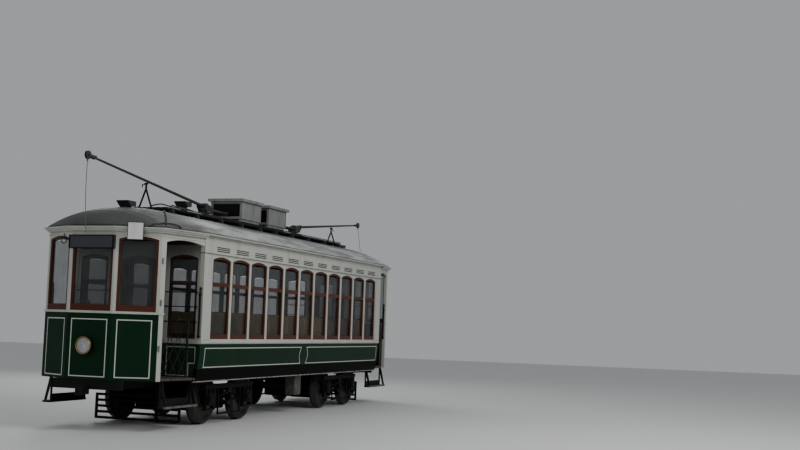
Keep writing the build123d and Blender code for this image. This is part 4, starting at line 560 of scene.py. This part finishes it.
def newPiece(name, chunks, finish, body, smooth=True):
    # joins the chunks, each points and four-cornered faces, in one mesh that rides on a body
    starts = np.cumsum([0] + [len(points) for points, faces in chunks[:-1]])
    points = np.concatenate([points for points, faces in chunks])
    faces = np.concatenate([faces + start for (points_, faces), start in zip(chunks, starts)])
    mesh = bpy.data.meshes.new(name)
    mesh.vertices.add(len(points))
    mesh.vertices.foreach_set("co", points.ravel())
    mesh.loops.add(faces.size)
    mesh.loops.foreach_set("vertex_index", faces.ravel())
    mesh.polygons.add(len(faces))
    mesh.polygons.foreach_set("loop_start", np.arange(len(faces)) * 4)
    mesh.update(calc_edges=True)
    work = bmesh.new()
    work.from_mesh(mesh)
    bmesh.ops.remove_doubles(work, verts=work.verts, dist=1e-5)
    bmesh.ops.dissolve_degenerate(work, dist=1e-6, edges=work.edges)
    bmesh.ops.recalc_face_normals(work, faces=work.faces)
    for edge in work.edges:
        if len(edge.link_faces) == 2 and edge.calc_face_angle() > 0.6:
            edge.smooth = False
    work.to_mesh(mesh)
    work.free()
    mesh.polygons.foreach_set("use_smooth", np.full(len(mesh.polygons), smooth))
    mesh.materials.append(finishes[finish])
    piece = bpy.data.objects.new(name, mesh)
    scene.collection.objects.link(piece)
    if body:
        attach(piece, body)
    return piece


def unit(vectors):
    return vectors / np.maximum(np.linalg.norm(vectors, axis=-1, keepdims=True), 1e-12)


def grid(points, closeU=False, closeV=False):
    # quads between neighbours of a rows by columns grid of points
    index = np.arange(points.shape[0] * points.shape[1]).reshape(points.shape[:2])
    index = np.concatenate([index, index[:1]], 0) if closeU else index
    index = np.concatenate([index, index[:, :1]], 1) if closeV else index
    quads = np.stack([index[:-1, :-1], index[:-1, 1:], index[1:, 1:], index[1:, :-1]], -1)
    return points.reshape(-1, 3), quads.reshape(-1, 4)


def bar(path, radius, sides=10, flat=1.0):
    # along a path: p(u, t) = path(u) + r (cos t side + flat sin t up), its ends drawn in to points
    path = np.asarray(path, float)
    run = unit(np.gradient(path, axis=0))
    least = np.eye(3)[np.argmin(np.abs(run).mean(0))]
    side = unit(np.cross(run, least))
    up = np.cross(side, run)
    t = np.linspace(0, 2 * np.pi, sides, endpoint=False)[None, :, None]
    ring = np.cos(t) * side[:, None] + flat * np.sin(t) * up[:, None]
    points = path[:, None] + np.reshape(radius, (-1, 1, 1)) * ring
    ends = [np.repeat(path[i][None, None], sides, 1) for i in (0, -1)]
    return grid(np.concatenate([ends[0], points, ends[1]]), closeV=True)


def smoothPath(points, count):
    # Catmull-Rom through the points: at each share t of a span, the cubic with the neighbours' half slopes
    p = np.asarray(points, float)
    p = np.concatenate([2 * p[:1] - p[1:2], p, 2 * p[-1:] - p[-2:-1]])
    u = np.linspace(0, len(p) - 3 - 1e-9, count)
    i = u.astype(int)
    t = (u - i)[:, None]
    a, b, c, d = p[i], p[i + 1], p[i + 2], p[i + 3]
    return 0.5 * (2 * b + (c - a) * t + (2 * a - 5 * b + 4 * c - d) * t**2 + (3 * b - a - 3 * c + d) * t**3)


def blocks(lows, highs):
    # one box for each pair of corners
    lows, highs = np.atleast_2d(lows).astype(float), np.atleast_2d(highs).astype(float)
    pick = np.array([[i & 1, i >> 1 & 1, i >> 2 & 1] for i in range(8)])
    points = np.where(pick[None] == 1, highs[:, None], lows[:, None])
    faces = np.array([[0, 2, 3, 1], [4, 5, 7, 6], [0, 1, 5, 4], [2, 6, 7, 3], [0, 4, 6, 2], [1, 3, 7, 5]])
    return points.reshape(-1, 3), (faces[None] + 8 * np.arange(len(lows))[:, None, None]).reshape(-1, 4)


def ownBox(origin, axes, lows, highs):
    # a box between two corners given along its own three axes
    points, faces = blocks(lows, highs)
    return np.asarray(origin) + points @ np.asarray(axes), faces


def boltHeads(places, outwards, radius):
    # round heads: rings of radius r at height h over the place, closed at the crown
    places = np.atleast_2d(places).astype(float)
    outwards = unit(np.broadcast_to(np.asarray(outwards, float), places.shape))
    least = np.where(np.abs(outwards[:, 2:3]) > 0.9, [[1.0, 0, 0]], [[0, 0, 1.0]])
    side = unit(np.cross(outwards, least))
    up = np.cross(side, outwards)
    t = np.linspace(0, 2 * np.pi, 8, endpoint=False)[None, None, :, None]
    rings = np.array([[1, -0.15], [1, 0.28], [0.72, 0.52], [0, 0.6]]) * radius
    r, h = rings[None, :, None, :1], rings[None, :, None, 1:]
    a, b, c = side[:, None, None], up[:, None, None], outwards[:, None, None]
    points = places[:, None, None] + r * (np.cos(t) * a + np.sin(t) * b) + h * c
    head, faces = grid(points[0], closeV=True)
    starts = len(head) * np.arange(len(places))[:, None, None]
    return points.reshape(-1, 3), (faces[None] + starts).reshape(-1, 4)


def dense(corners, step=0.05, closed=True):
    # points every step along a polyline
    corners = np.asarray(corners, float)
    ends = np.roll(corners, -1, 0) if closed else corners[1:]
    runs = [
        a + (b - a) * np.linspace(0, 1, max(2, int(np.hypot(*(b - a)) / step) + 1))[:-1, None]
        for a, b in zip(corners, ends)
    ]
    return np.concatenate(runs if closed else runs + [corners[-1:]])


def lining(outline, width, lift, place):
    # a painted line round a closed outline: the outline moved in and out by half the width at mitred corners
    before, after = unit(outline - np.roll(outline, 1, 0)), unit(np.roll(outline, -1, 0) - outline)
    turned = [np.stack([-d[:, 1], d[:, 0]], 1) for d in (before, after)]
    mitre = (turned[0] + turned[1]) / (1 + (turned[0] * turned[1]).sum(1, keepdims=True))
    rows = [(0.5, -lift), (0.5, lift), (-0.5, lift), (-0.5, -lift)]
    points = np.stack([place(outline + mitre * width * side, high) for side, high in rows], 1)
    return grid(points, closeU=True, closeV=True)


def turned(chunk):
    # the same thing at the other end and side of the car
    return chunk[0] * [-1, -1, 1], chunk[1]


def turnedAll(chunks):
    return [turned(chunk) for chunk in chunks]


def mirrored(chunk, axis):
    flip = np.ones(3)
    flip[axis] = -1
    return chunk[0] * flip, chunk[1]


def fourWays(chunk):
    # the chunk and its copies at the other end and side
    pair = [chunk, mirrored(chunk, 0)]
    return pair + [mirrored(one, 1) for one in pair]


# Painted lines on the dado, whose face is y(z), the parabola through its top, middle and bottom
sideLine = {
    "width": 0.013, "lift": 0.0012, "top": 1.219, "bottom": 0.928, "ends": (3.745, -3.805),
    "gap": (0.132, -0.108), "bulge": 0.062, "faceZ": (1.285, 1.095, 0.905), "faceY": (1.15, 1.1419, 1.123),
}
dadoCurve = np.polyfit(sideLine["faceZ"], sideLine["faceY"], 2)


def onDado(points, high):
    return np.stack([points[:, 0], np.polyval(dadoCurve, points[:, 1]) + high, points[:, 1]], 1)


s = sideLine
archShare = np.linspace(0, 1, 14)
lineChunks = []
for far, near in zip(s["ends"], s["gap"]):
    sign = np.sign(near)
    arch = np.stack(
        [
            near + sign * s["bulge"] * np.sin(np.pi * archShare),
            s["top"] + (s["bottom"] - s["top"]) * archShare,
        ],
        1,
    )
    outline = np.concatenate([dense([(far, s["bottom"]), (far, s["top"]), (near, s["top"])], 0.06, False)[:-1], arch])
    outline = np.concatenate([outline, dense([(near, s["bottom"]), (far, s["bottom"])], 0.06, False)[1:-1]])
    lineChunks.append(lining(outline, s["width"], s["lift"], onDado))
lineChunks += turnedAll(lineChunks)
newPiece("sideLines", lineChunks, "whiteLine", "car", smooth=False)

# Painted lines on the dash facets and under the bulkhead windows
dashLine = {
    "width": 0.015, "lift": 0.0012, "low": 0.787, "high": 1.611, "postInset": 0.096, "noseInset": 0.078,
    "corner": (4.851, 0.974), "nose": (5.140, 0.376),
}


def onFacet(start, end):
    start, end = np.append(start, 0), np.append(end, 0)
    run = unit(end - start)
    out = np.array([-run[1], run[0], 0])
    out = out * np.sign(out[0])
    return lambda points, high: start + points[:, :1] * run + points[:, 1:] * [0, 0, 1] + high * out


s = dashLine
dashChunks = []
for start, end in ((s["corner"], s["nose"]), (s["nose"], (s["nose"][0], -s["nose"][1]))):
    length = np.hypot(end[0] - start[0], end[1] - start[1])
    near = s["postInset"] if start == s["corner"] else s["noseInset"]
    far = length - s["noseInset"]
    box = [(near, s["low"]), (far, s["low"]), (far, s["high"]), (near, s["high"])]
    flat = lining(dense(box, 0.2), s["width"], s["lift"], onFacet(start, end))
    dashChunks.append(flat)
    if start == s["corner"]:
        dashChunks.append(mirrored(flat, 1))
dashChunks += [mirrored(chunk, 0) for chunk in dashChunks]
newPiece("dashLines", dashChunks, "whiteLine", "car", smooth=False)

bulkheadLine = {
    "width": 0.012, "lift": 0.001, "face": 3.895,
    "outline": [(0.57, 0.80), (0.95, 0.80), (0.95, 0.99), (1.06, 0.99), (1.06, 1.232), (0.57, 1.232)],
}
s = bulkheadLine
panel = lining(
    dense(s["outline"], 0.2), s["width"], s["lift"],
    lambda points, high: np.stack([np.full(len(points), s["face"] + high), points[:, 0], points[:, 1]], 1),
)
newPiece("bulkheadLines", fourWays(panel), "whiteLine", "car", smooth=False)
print("painted lines laid")

# Seats: cane cushions and backs on iron frames. Feet, legs and arms are given from the seat's middle, as
# places along the car and heights; the rail also across it
seatSet = {
    "count": 9, "pitch": 0.76, "y": 0.665, "seatZ": 1.284, "cushionHalf": (0.213, 0.388, 0.050),
    "backX": -0.204, "backZ": 1.582, "backHalf": (0.203, 0.386, 0.022), "lean": 0.095,
    "square": 0.42, "crown": 0.012, "legY": 0.328,
    "foot": ((-0.14, 0.917), (0.14, 0.917)), "footR": 0.014,
    "leg": ((0.12, 0.915), (0.05, 1.07), (0.13, 1.232)), "legR": 0.013,
    "arm": ((-0.13, 1.24), (-0.18, 1.31), (-0.212, 1.43), (-0.225, 1.62)), "armR": 0.011,
    "rail": ((-0.246, -0.37, 1.70), (-0.249, -0.36, 1.777), (-0.249, -0.30, 1.783), (-0.249, 0.36, 1.783)),
    "railR": 0.00605,
}
s = seatSet
seatXs = (np.arange(s["count"]) - (s["count"] - 1) / 2) * s["pitch"]


def pad(middle, half, tilt, side):
    # a crowned block: each axis is its half size times the sine or cosine raised to a small power, so that
    # the faces stay flat and the edges round; thickness swells by crown (1 - a^2)(1 - b^2)
    u = np.linspace(-np.pi / 2, np.pi / 2, 17)[:, None]
    v = np.linspace(-np.pi, np.pi, 40, endpoint=False)[None]
    power = lambda value, e: np.sign(value) * np.abs(value) ** e
    e = s["square"]
    a = power(np.cos(u), e) * power(np.cos(v), e)
    b = power(np.cos(u), e) * power(np.sin(v), e)
    c = power(np.sin(u), e) * np.ones_like(v)
    swell = s["crown"] * (1 - a**2) * (1 - c**2)
    points = np.stack([a * half[0], c * half[1], b * (half[2] + swell)], -1)
    lean = np.array([[np.cos(tilt), 0, -np.sin(tilt)], [0, 1, 0], [np.sin(tilt), 0, np.cos(tilt)]])
    return grid((points @ lean.T) * [1, side, 1] + middle, closeV=True)


def bent(points, x, y, count, way=1):
    return smoothPath([(x + way * along, y, z) for along, z in points], count)


for side, sideName in ((1, "Left"), (-1, "Right")):
    y = side * s["y"]
    cushions = [pad((x, y, s["seatZ"]), s["cushionHalf"], 0, side) for x in seatXs]
    cushionPiece = newPiece("seatCushions" + sideName, cushions, "rattan", "car")
    tilt = np.pi / 2 + s["lean"]
    backs = [pad((x + s["backX"], y, s["backZ"]), s["backHalf"], tilt, side) for x in seatXs]
    backPiece = newPiece("seatBacks" + sideName, backs, "rattan", "car")
    frames = []
    for x in seatXs:
        for legY in (side * (s["y"] - s["legY"]), side * (s["y"] + s["legY"])):
            frames.append(bar([(x + along, legY, z) for along, z in s["foot"]], s["footR"]))
            frames += [bar(bent(s["leg"], x, legY, 9, way), s["legR"]) for way in (-1, 1)]
            frames.append(bar(bent(s["arm"], x, legY, 12), s["armR"]))
        rail = [(x + along, side * (s["y"] + across), z) for along, across, z in s["rail"]]
        frames.append(bar(smoothPath(rail, 24), s["railR"], 8))
    newPiece("seatFrames" + sideName, frames, "handIron", "car")
    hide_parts("seats_" + sideName.lower())
print("seats made")

# Folding gates: crossed bars, riveted where they meet, with hairpins and a loop on top, drawn out between
# two posts. Places on a gate are its distance from the fixed post, its height, and how far out it stands
gateSet = {
    "fixed": (4.740698, 0.962075), "run": (-0.98295, 0.18385), "length": 0.585, "post": 0.024, "cells": 3,
    "low": 0.807, "high": 1.400, "barHalf": 0.006, "barFlat": 0.55, "layer": 0.0035, "endGap": 0.001,
    "postLow": 0.787, "postTop": 1.655, "postGap": 0.0003,
    "pins": (1, 2), "pinHalf": 0.036, "pinFoot": 1.325, "pinTop": 1.650, "pinR": 0.0045,
    "rivetRows": 5, "rivetOut": 0.0062, "rivetR": 0.0075, "loopOut": 0.013, "loopR": 0.0055,
    "loop": (
        (0.568, 1.41), (0.548, 1.50), (0.505, 1.61), (0.465, 1.648), (0.40, 1.650), (0.32, 1.632),
        (0.292, 1.59), (0.290, 1.50), (0.296, 1.41),
    ),
}
s = gateSet
gateRun = np.array([*s["run"], 0])
gateOut = np.array([s["run"][1], -s["run"][0], 0])
gateFixed = np.array([*s["fixed"], 0])


def onGate(u, z, out=0.0):
    u, z = np.broadcast_arrays(np.asarray(u, float), np.asarray(z, float))
    return gateFixed + u[..., None] * gateRun + z[..., None] * [0, 0, 1] + out * gateOut


first, last = s["post"] / 2, s["length"] - s["post"] / 2 - s["postGap"]
cell = (last - first) / s["cells"]
gateHeight = s["high"] - s["low"]
postHeights = np.linspace(s["postLow"], s["postTop"], 8)
gateChunks = [bar(onGate(np.zeros(8), postHeights), s["post"] / 2, 12)]
rivets = []
for lean in (1, -1):
    for i in range(s["cells"] + 1):
        share = np.linspace(0, 1, 25)
        u = first + cell * i + lean * cell * (2 * share - 1)
        z = s["low"] + gateHeight * share
        keep = (u > first + s["endGap"]) & (u < last - s["endGap"])
        gateChunks.append(bar(onGate(u[keep], z[keep], lean * s["layer"]), s["barHalf"], 8, s["barFlat"]))
    for i in range(1, 2 * s["cells"]):
        for j in range(s["rivetRows"]):
            if (i + j) % 2 == 0:
                height = s["low"] + gateHeight * j / (s["rivetRows"] - 1)
                rivets.append(onGate(first + cell * i / 2, height, lean * s["rivetOut"]))
for i in s["pins"]:
    middle = first + cell * i
    sweep = np.linspace(0, np.pi, 13)
    bend = s["pinTop"] - s["pinHalf"]
    straight = np.linspace(s["pinFoot"], bend, 6)
    near, far = [middle + s["pinHalf"]] * 6, [middle - s["pinHalf"]] * 6
    u = np.concatenate([near, middle + s["pinHalf"] * np.cos(sweep), far])
    z = np.concatenate([straight, bend + s["pinHalf"] * np.sin(sweep), straight[::-1]])
    gateChunks.append(bar(onGate(u, z), s["pinR"], 8))
loop = smoothPath([(u, 0, z) for u, z in s["loop"]], 70)
gateChunks.append(bar(onGate(loop[:, 0], loop[:, 2], s["loopOut"]), s["loopR"], 8))
gateChunks += [boltHeads(np.array(rivets), way * gateOut, s["rivetR"]) for way in (1, -1)]
for end, chunks, sign in (("front", gateChunks, 1), ("rear", turnedAll(gateChunks), -1)):
    lattice = newPiece("gateBars" + end.capitalize(), chunks, "handIron", None)
    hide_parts("gate_lattice_" + end)
    start, stop = (Vector(sign * onGate(u, 0.0)) for u in (s["post"] / 2, s["length"] - s["post"] / 2))
    "gate_" + end
    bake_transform(lattice)
print("gates strung")

# Ropes from the pole tips down to the cornice over each end, each riding with its pole
ropeSet = {
    "top": (5.405, 0.0, 3.905), "feet": {"front": (5.262, -0.055, 2.852), "rear": (5.262, -0.19, 2.852)},
    "sag": 0.028, "radius": 0.0055, "count": 60, "turns": 3.5, "knotWide": 0.012, "knotTall": 0.02, "knotR": 0.004,
}
s = ropeSet
share = np.linspace(0, 1, s["count"])[:, None]
coil = s["turns"] * 2 * np.pi * share
knot = [s["knotWide"] * np.cos(coil), s["knotWide"] * np.sin(coil), s["knotTall"] * (2 * share - 1)]
for end, foot in s["feet"].items():
    ropePath = np.array(s["top"]) * (1 - share) + np.array(foot) * share
    ropePath[:, 0] += s["sag"] * 4 * (share * (1 - share))[:, 0]
    chunks = [bar(ropePath, s["radius"], 8), bar(np.concatenate(knot, 1) + s["top"], s["knotR"], 6)]
    chunks = turnedAll(chunks) if end == "rear" else chunks
    newPiece("poleRope" + end.capitalize(), chunks, "rope", "trolley_pole_" + end)
print("ropes tied")

# Dark slots over the side windows: the shadow inside each cut of the letterboard
slotSet = {"count": 11, "pitch": 0.664, "z": (2.725, 2.754, 2.783), "half": (0.2135, 0.0080), "y": (1.1495, 1.1643)}
s = slotSet
slotMiddles = [(x, z) for x in (np.arange(s["count"]) - (s["count"] - 1) / 2) * s["pitch"] for z in s["z"]]
slotChunk = blocks(
    [(x - s["half"][0], s["y"][0], z - s["half"][1]) for x, z in slotMiddles],
    [(x + s["half"][0], s["y"][1], z + s["half"][1]) for x, z in slotMiddles],
)
newPiece("slotShadows", [slotChunk, mirrored(slotChunk, 1)], "blackPaint", "car", smooth=False)

# Blank route plate on two irons over the front corner, and one turned round at the other end
plateSet = {
    "start": (5.169, 0.579), "end": (5.073, 0.788), "low": 2.770, "high": 3.025, "thickness": 0.004,
    "rim": 0.007, "rimOver": 0.001, "rimOut": (-0.002, 0.006),
    "ironInset": 0.06, "ironR": 0.007, "irons": ((2.865, 0.125), (2.942, 0.05)),
}
s = plateSet
plateFoot = np.array([*s["start"], 0.0])
across = np.array([*s["end"], 0.0]) - plateFoot
plateWidth = np.linalg.norm(across)
across = across / plateWidth
outward = np.array([across[1], -across[0], 0.0])
outward = outward * np.sign(outward[0])
plateAxes = (across, (0, 0, 1), outward)


def slab(u, z, out):
    return ownBox(plateFoot, plateAxes, (u[0], z[0], out[0]), (u[1], z[1], out[1]))


low, high, rim, over, rimOut = s["low"], s["high"], s["rim"], s["rimOver"], s["rimOut"]
wide = (-over, plateWidth + over)
plateChunks = [slab((0, plateWidth), (low, high), (0, s["thickness"]))]
rimChunks = [
    slab((-over, rim), (low, high), rimOut), slab((plateWidth - rim, plateWidth + over), (low, high), rimOut),
    slab(wide, (low - over, low + rim), rimOut), slab(wide, (high - rim, high + over), rimOut),
]
for u in (s["ironInset"], plateWidth - s["ironInset"]):
    for z, reach in s["irons"]:
        ends = [plateFoot + np.array([u, z, out]) @ plateAxes for out in (rimOut[0], -reach)]
        rimChunks.append(bar(np.linspace(*ends, 8), s["ironR"], 8))
rearPlate = (turnedAll(plateChunks), turnedAll(rimChunks))
for end, plates, rims in (("Front", plateChunks, rimChunks), ("Rear", *rearPlate)):
    newPiece("routePlate" + end, plates, "whitePlate", "car", smooth=False)
    newPiece("routeRim" + end, rims, "handIron", "car")

# Frames of the blank signs
signSet = {"x": (5.1983, 5.2143), "half": 0.376, "low": 2.635, "high": 2.830, "rim": 0.013}
s = signSet
(back, face), half, low, high, rim = s["x"], s["half"], s["low"], s["high"], s["rim"]
signFrame = blocks(
    [(back, -half, low), (back, -half, high - rim), (back, -half, low), (back, half - rim, low)],
    [(face, half, low + rim), (face, half, high), (face, -half + rim, high), (face, half, high)],
)
newPiece("signFrames", [signFrame, turned(signFrame)], "blackPaint", "car", smooth=False)

# Cables fastened on the roof: from the boards down to the gutter and along it, along the boards, and in a
# loose tangle at the end of the boards
roofTree = BVHTree.FromPolygons(
    [nodes["roof"].matrix_world @ v.co for v in nodes["roof"].data.vertices],
    [tuple(p.vertices) for p in nodes["roof"].data.polygons],
)
cableSet = {
    "radius": 0.011, "lift": 0.009, "count": 60, "above": 5.0,
    "down": [(3.58, 0.20), (3.72, 0.27), (3.974, 0.45), (4.316, 0.682), (4.49, 0.795), (4.672, 0.907), (4.80, 0.985)],
    "gutter": [
        (5.01, 0.829), (4.97, 0.865), (4.872, 0.925), (4.73, 0.955), (4.606, 0.983), (4.557, 1.011),
        (4.529, 1.044), (4.54, 1.085),
    ],
    "runs": ((0.335, 3.418, 0.006), (0.30, 3.424, 0.004)), "runHalf": 3.55, "runR": 0.009, "wave": 4.1, "shift": 30,
    "tangle": [
        (3.66, 0.02, 3.43), (3.60, 0.16, 3.46), (3.45, 0.24, 3.44), (3.30, 0.20, 3.47), (3.12, 0.27, 3.435),
        (2.95, 0.22, 3.46), (2.80, 0.30, 3.43),
    ],
}


def onRoof(plan, lift):
    hits = [roofTree.ray_cast(Vector((x, y, cableSet["above"])), Vector((0, 0, -1))) for x, y in plan]
    return np.array([np.array(hit[0]) + np.array(hit[1]) * lift for hit in hits])


s = cableSet
cableChunks = []
for plan in (s["down"], s["gutter"]):
    plan = smoothPath([(x, y, 0) for x, y in plan], s["count"])[:, :2]
    cableChunks.append(bar(onRoof(plan, s["lift"]), s["radius"], 8))
newPiece("roofCables", cableChunks + turnedAll(cableChunks), "darkWire", "car")
boardCables = []
x = np.linspace(-s["runHalf"], s["runHalf"], 300)
for y, z, swing in s["runs"]:
    run = [x, y + swing * np.sin(x * s["wave"] + y * s["shift"]), np.full_like(x, z)]
    boardCables.append(bar(np.stack(run, 1), s["runR"], 7))
boardCables.append(bar(smoothPath(s["tangle"], 90), s["radius"], 8))
newPiece("boardCables", boardCables + turnedAll(boardCables), "darkWire", "car")

# Resistor boxes: dark slats in the sunk ends, angle irons at the corners and screw heads along them
boxSet = {
    "ends": ((1.086, 1), (0.344, -1), (-0.014, 1), (-0.756, -1)), "y": 0.268, "z": (3.521, 3.748), "slats": 9,
    "backDepth": 0.0015, "slatDepth": 0.011, "slatHalf": 0.0035,
    "spans": ((0.33, 1.10), (-0.77, 0.0)), "bodyZ": (3.479, 3.79), "ironHalf": 0.014, "ironY": (0.309, 0.314),
    "screwInset": 0.03, "screwRows": 5, "screwR": 0.006,
}


def endStrip(x, reach, low, high):
    # a strip across the end of a box, from x as far as the reach goes
    return blocks((min(x, x + reach), -boxSet["y"], low), (max(x, x + reach), boxSet["y"], high))


s = boxSet
slats, backs, irons, screws, outs = [], [], [], [], []
for x, way in s["ends"]:
    backs.append(endStrip(x, way * s["backDepth"], *s["z"]))
    for i in range(s["slats"]):
        z = s["z"][0] + (i + 0.5) * (s["z"][1] - s["z"][0]) / s["slats"]
        slats.append(endStrip(x, way * s["slatDepth"], z - s["slatHalf"], z + s["slatHalf"]))
half, (low, high) = s["ironHalf"], s["bodyZ"]
for near, far in s["spans"]:
    for side in (1, -1):
        inner, outer = sorted(side * y for y in s["ironY"])
        for x in (near + half, (near + far) / 2, far - half):
            irons.append(blocks((x - half, inner, low), (x + half, outer, high)))
            for z in np.linspace(low + s["screwInset"], high - s["screwInset"], s["screwRows"]):
                screws.append((x, side * s["ironY"][1], z))
                outs.append((0, side, 0))
newPiece("resistorEnds", backs + slats, "blackPaint", "car", smooth=False)
newPiece("resistorIrons", irons, "greySheet", "car", smooth=False)
newPiece("resistorScrews", [boltHeads(screws, outs, s["screwR"])], "greySheet", "car")
print("roof gear dressed")

# Headlamps: a brass ring and a fluted lens, domed as h (1 - (r / R)^2)
lampSet = {
    "front": 5.2515, "back": 5.25, "z": 1.23, "radius": 0.112, "dome": 0.018, "flutes": 24, "fluteDepth": 0.0012,
    "ringX": 5.2575, "ring": 0.120, "ringR": 0.010,
}
s = lampSet
r = np.linspace(0, 1, 14)[:, None]
t = np.linspace(0, 2 * np.pi, 48, endpoint=False)[None]
flute = s["fluteDepth"] * np.cos(t * s["flutes"]) * np.sin(np.pi * r)
domed = s["front"] + s["dome"] * (1 - r**2) + flute
front = np.stack([domed, s["radius"] * r * np.cos(t), s["z"] + s["radius"] * r * np.sin(t)], -1)
back = front[::-1].copy()
back[..., 0] = s["back"]
lens = grid(np.concatenate([front, back]), closeV=True)
t = np.linspace(0, 2 * np.pi, 64, endpoint=False)[:, None]
around = np.linspace(0, 2 * np.pi, 12, endpoint=False)[None]
reach = s["ring"] + s["ringR"] * np.cos(around)
ringX = s["ringX"] + s["ringR"] * np.sin(around) + 0 * t
ring = grid(np.stack([ringX, reach * np.cos(t), s["z"] + reach * np.sin(t)], -1), closeU=True, closeV=True)
newPiece("lampLenses", [lens, turned(lens)], "lampGlass", "car")
newPiece("lampRings", [ring, turned(ring)], "brass", "car")

# Fittings on the posts: hinges with their plates and pins, and the ring for the pole's rope on its link
fittingSet = {
    "start": (3.910, 1.150), "run": (0.98295, -0.18385, 0), "out": (0.18385, 0.98295, 0),
    "hingeX": 4.824, "hingeZ": (2.483, 1.873, 1.210), "barrelOut": 0.010, "barrelHalf": 0.045, "barrelR": 0.011,
    "plateLow": (-0.025, -0.001, -0.035), "plateHigh": (0.025, 0.004, 0.035),
    "pinOut": 0.004, "pinX": 0.017, "pinZ": 0.025, "pinR": 0.005,
    "ringMiddle": (5.070, -0.559, 2.766), "ringRun": (-0.435, -0.900, 0), "ringWide": 0.076, "ringTall": 0.052,
    "ringR": 0.0065, "linkR": 0.006,
    "link": ((5.040, -0.545, 2.852), (5.062, -0.556, 2.856), (5.076, -0.562, 2.838), (5.070, -0.559, 2.812)),
}
s = fittingSet
run, out, up = np.array([s["run"], s["out"], (0, 0, 1)])
hinges, pins = [], []
for z in s["hingeZ"]:
    foot = np.array([*s["start"], z]) + run * (s["hingeX"] - s["start"][0]) / run[0]
    heights = np.linspace(-s["barrelHalf"], s["barrelHalf"], 6)
    hinges.append(bar(foot + out * s["barrelOut"] + heights[:, None] * up, s["barrelR"], 10))
    hinges.append(ownBox(foot, (run, out, up), s["plateLow"], s["plateHigh"]))
    for a, b in ((-1, -1), (-1, 1), (1, -1), (1, 1)):
        pins.append(foot + out * s["pinOut"] + run * a * s["pinX"] + up * b * s["pinZ"])
hinges.append(boltHeads(pins, out, s["pinR"]))
newPiece("postHinges", hinges + turnedAll(hinges), "greySheet", "car")
sweep = np.linspace(0, 2 * np.pi, 40)[:, None]
ringPath = s["ringMiddle"] + s["ringWide"] * np.cos(sweep) * s["ringRun"] + s["ringTall"] * np.sin(sweep) * up
ropeRing = [bar(ringPath, s["ringR"], 8), bar(smoothPath(s["link"], 16), s["linkR"], 8)]
newPiece("ropeRings", ropeRing + turnedAll(ropeRing), "handIron", "car")

# Grips round the grab rails, swelling to a boss at each end: at a share n of nearness to the end, by
# sin(pi (reach n)^slant)^blunt
gripSet = {
    "low": 1.372, "high": 2.058, "radius": 0.0165, "boss": 0.025, "bossLength": 0.045, "reach": 1.3, "slant": 0.8,
    "blunt": 0.7, "places": ((3.955, 1.134), (4.710, -0.961)),
}
s = gripSet
z = np.linspace(s["low"], s["high"], 70)
near = np.maximum(0, 1 - np.minimum(z - s["low"], s["high"] - z) / s["bossLength"])
swell = np.sin(np.pi * np.minimum(near * s["reach"], 1) ** s["slant"]) ** s["blunt"]
girth = s["radius"] + (s["boss"] - s["radius"]) * swell
corner, post = [bar(np.stack([np.full_like(z, x), np.full_like(z, y), z], 1), girth, 12) for x, y in s["places"]]
newPiece("railGrips", fourWays(corner) + [post, turned(post)], "blackPaint", "car")

# Floor, surroundings and lights
studio = {
    "floorHalf": 40.0, "floorColour": (0.62, 0.62, 0.61, 1), "floorRough": 0.62,
    "skyColour": (0.86, 0.90, 0.93, 1), "skyStrength": 0.42,
    "lights": [
        ("key", (4.5, 11.0, 9.0), (0.0, 0.0, 1.6), 820.0, 6.0),
        ("fill", (15.0, 1.0, 5.0), (2.0, 0.0, 1.6), 150.0, 5.0),
        ("rim", (-9.0, -7.0, 8.0), (0.0, 0.0, 2.0), 450.0, 6.0),
    ],
}
h = studio["floorHalf"]
floorMesh = bpy.data.meshes.new("floor")
floorMesh.from_pydata([(-h, -h, 0), (h, -h, 0), (h, h, 0), (-h, h, 0)], [], [(0, 1, 2, 3)])
floorMaterial = bpy.data.materials.new("floor")
floorMaterial.use_nodes = True
floorShader = floorMaterial.node_tree.nodes["Principled BSDF"]
floorShader.inputs["Base Color"].default_value = studio["floorColour"]
floorShader.inputs["Roughness"].default_value = studio["floorRough"]
floorMesh.materials.append(floorMaterial)
floor = bpy.data.objects.new("floor", floorMesh)
scene.collection.objects.link(floor)

world = bpy.data.worlds.new("surroundings")
world.use_nodes = True
world.node_tree.nodes["Background"].inputs["Color"].default_value = studio["skyColour"]
world.node_tree.nodes["Background"].inputs["Strength"].default_value = studio["skyStrength"]
scene.world = world
for name, place, aim, power, size in studio["lights"]:
    data = bpy.data.lights.new(name, "AREA")
    data.energy, data.size = power, size
    light = bpy.data.objects.new(name, data)
    light.location = place
    light.rotation_euler = (Vector(aim) - Vector(place)).to_track_quat("-Z", "Y").to_euler()
    scene.collection.objects.link(light)
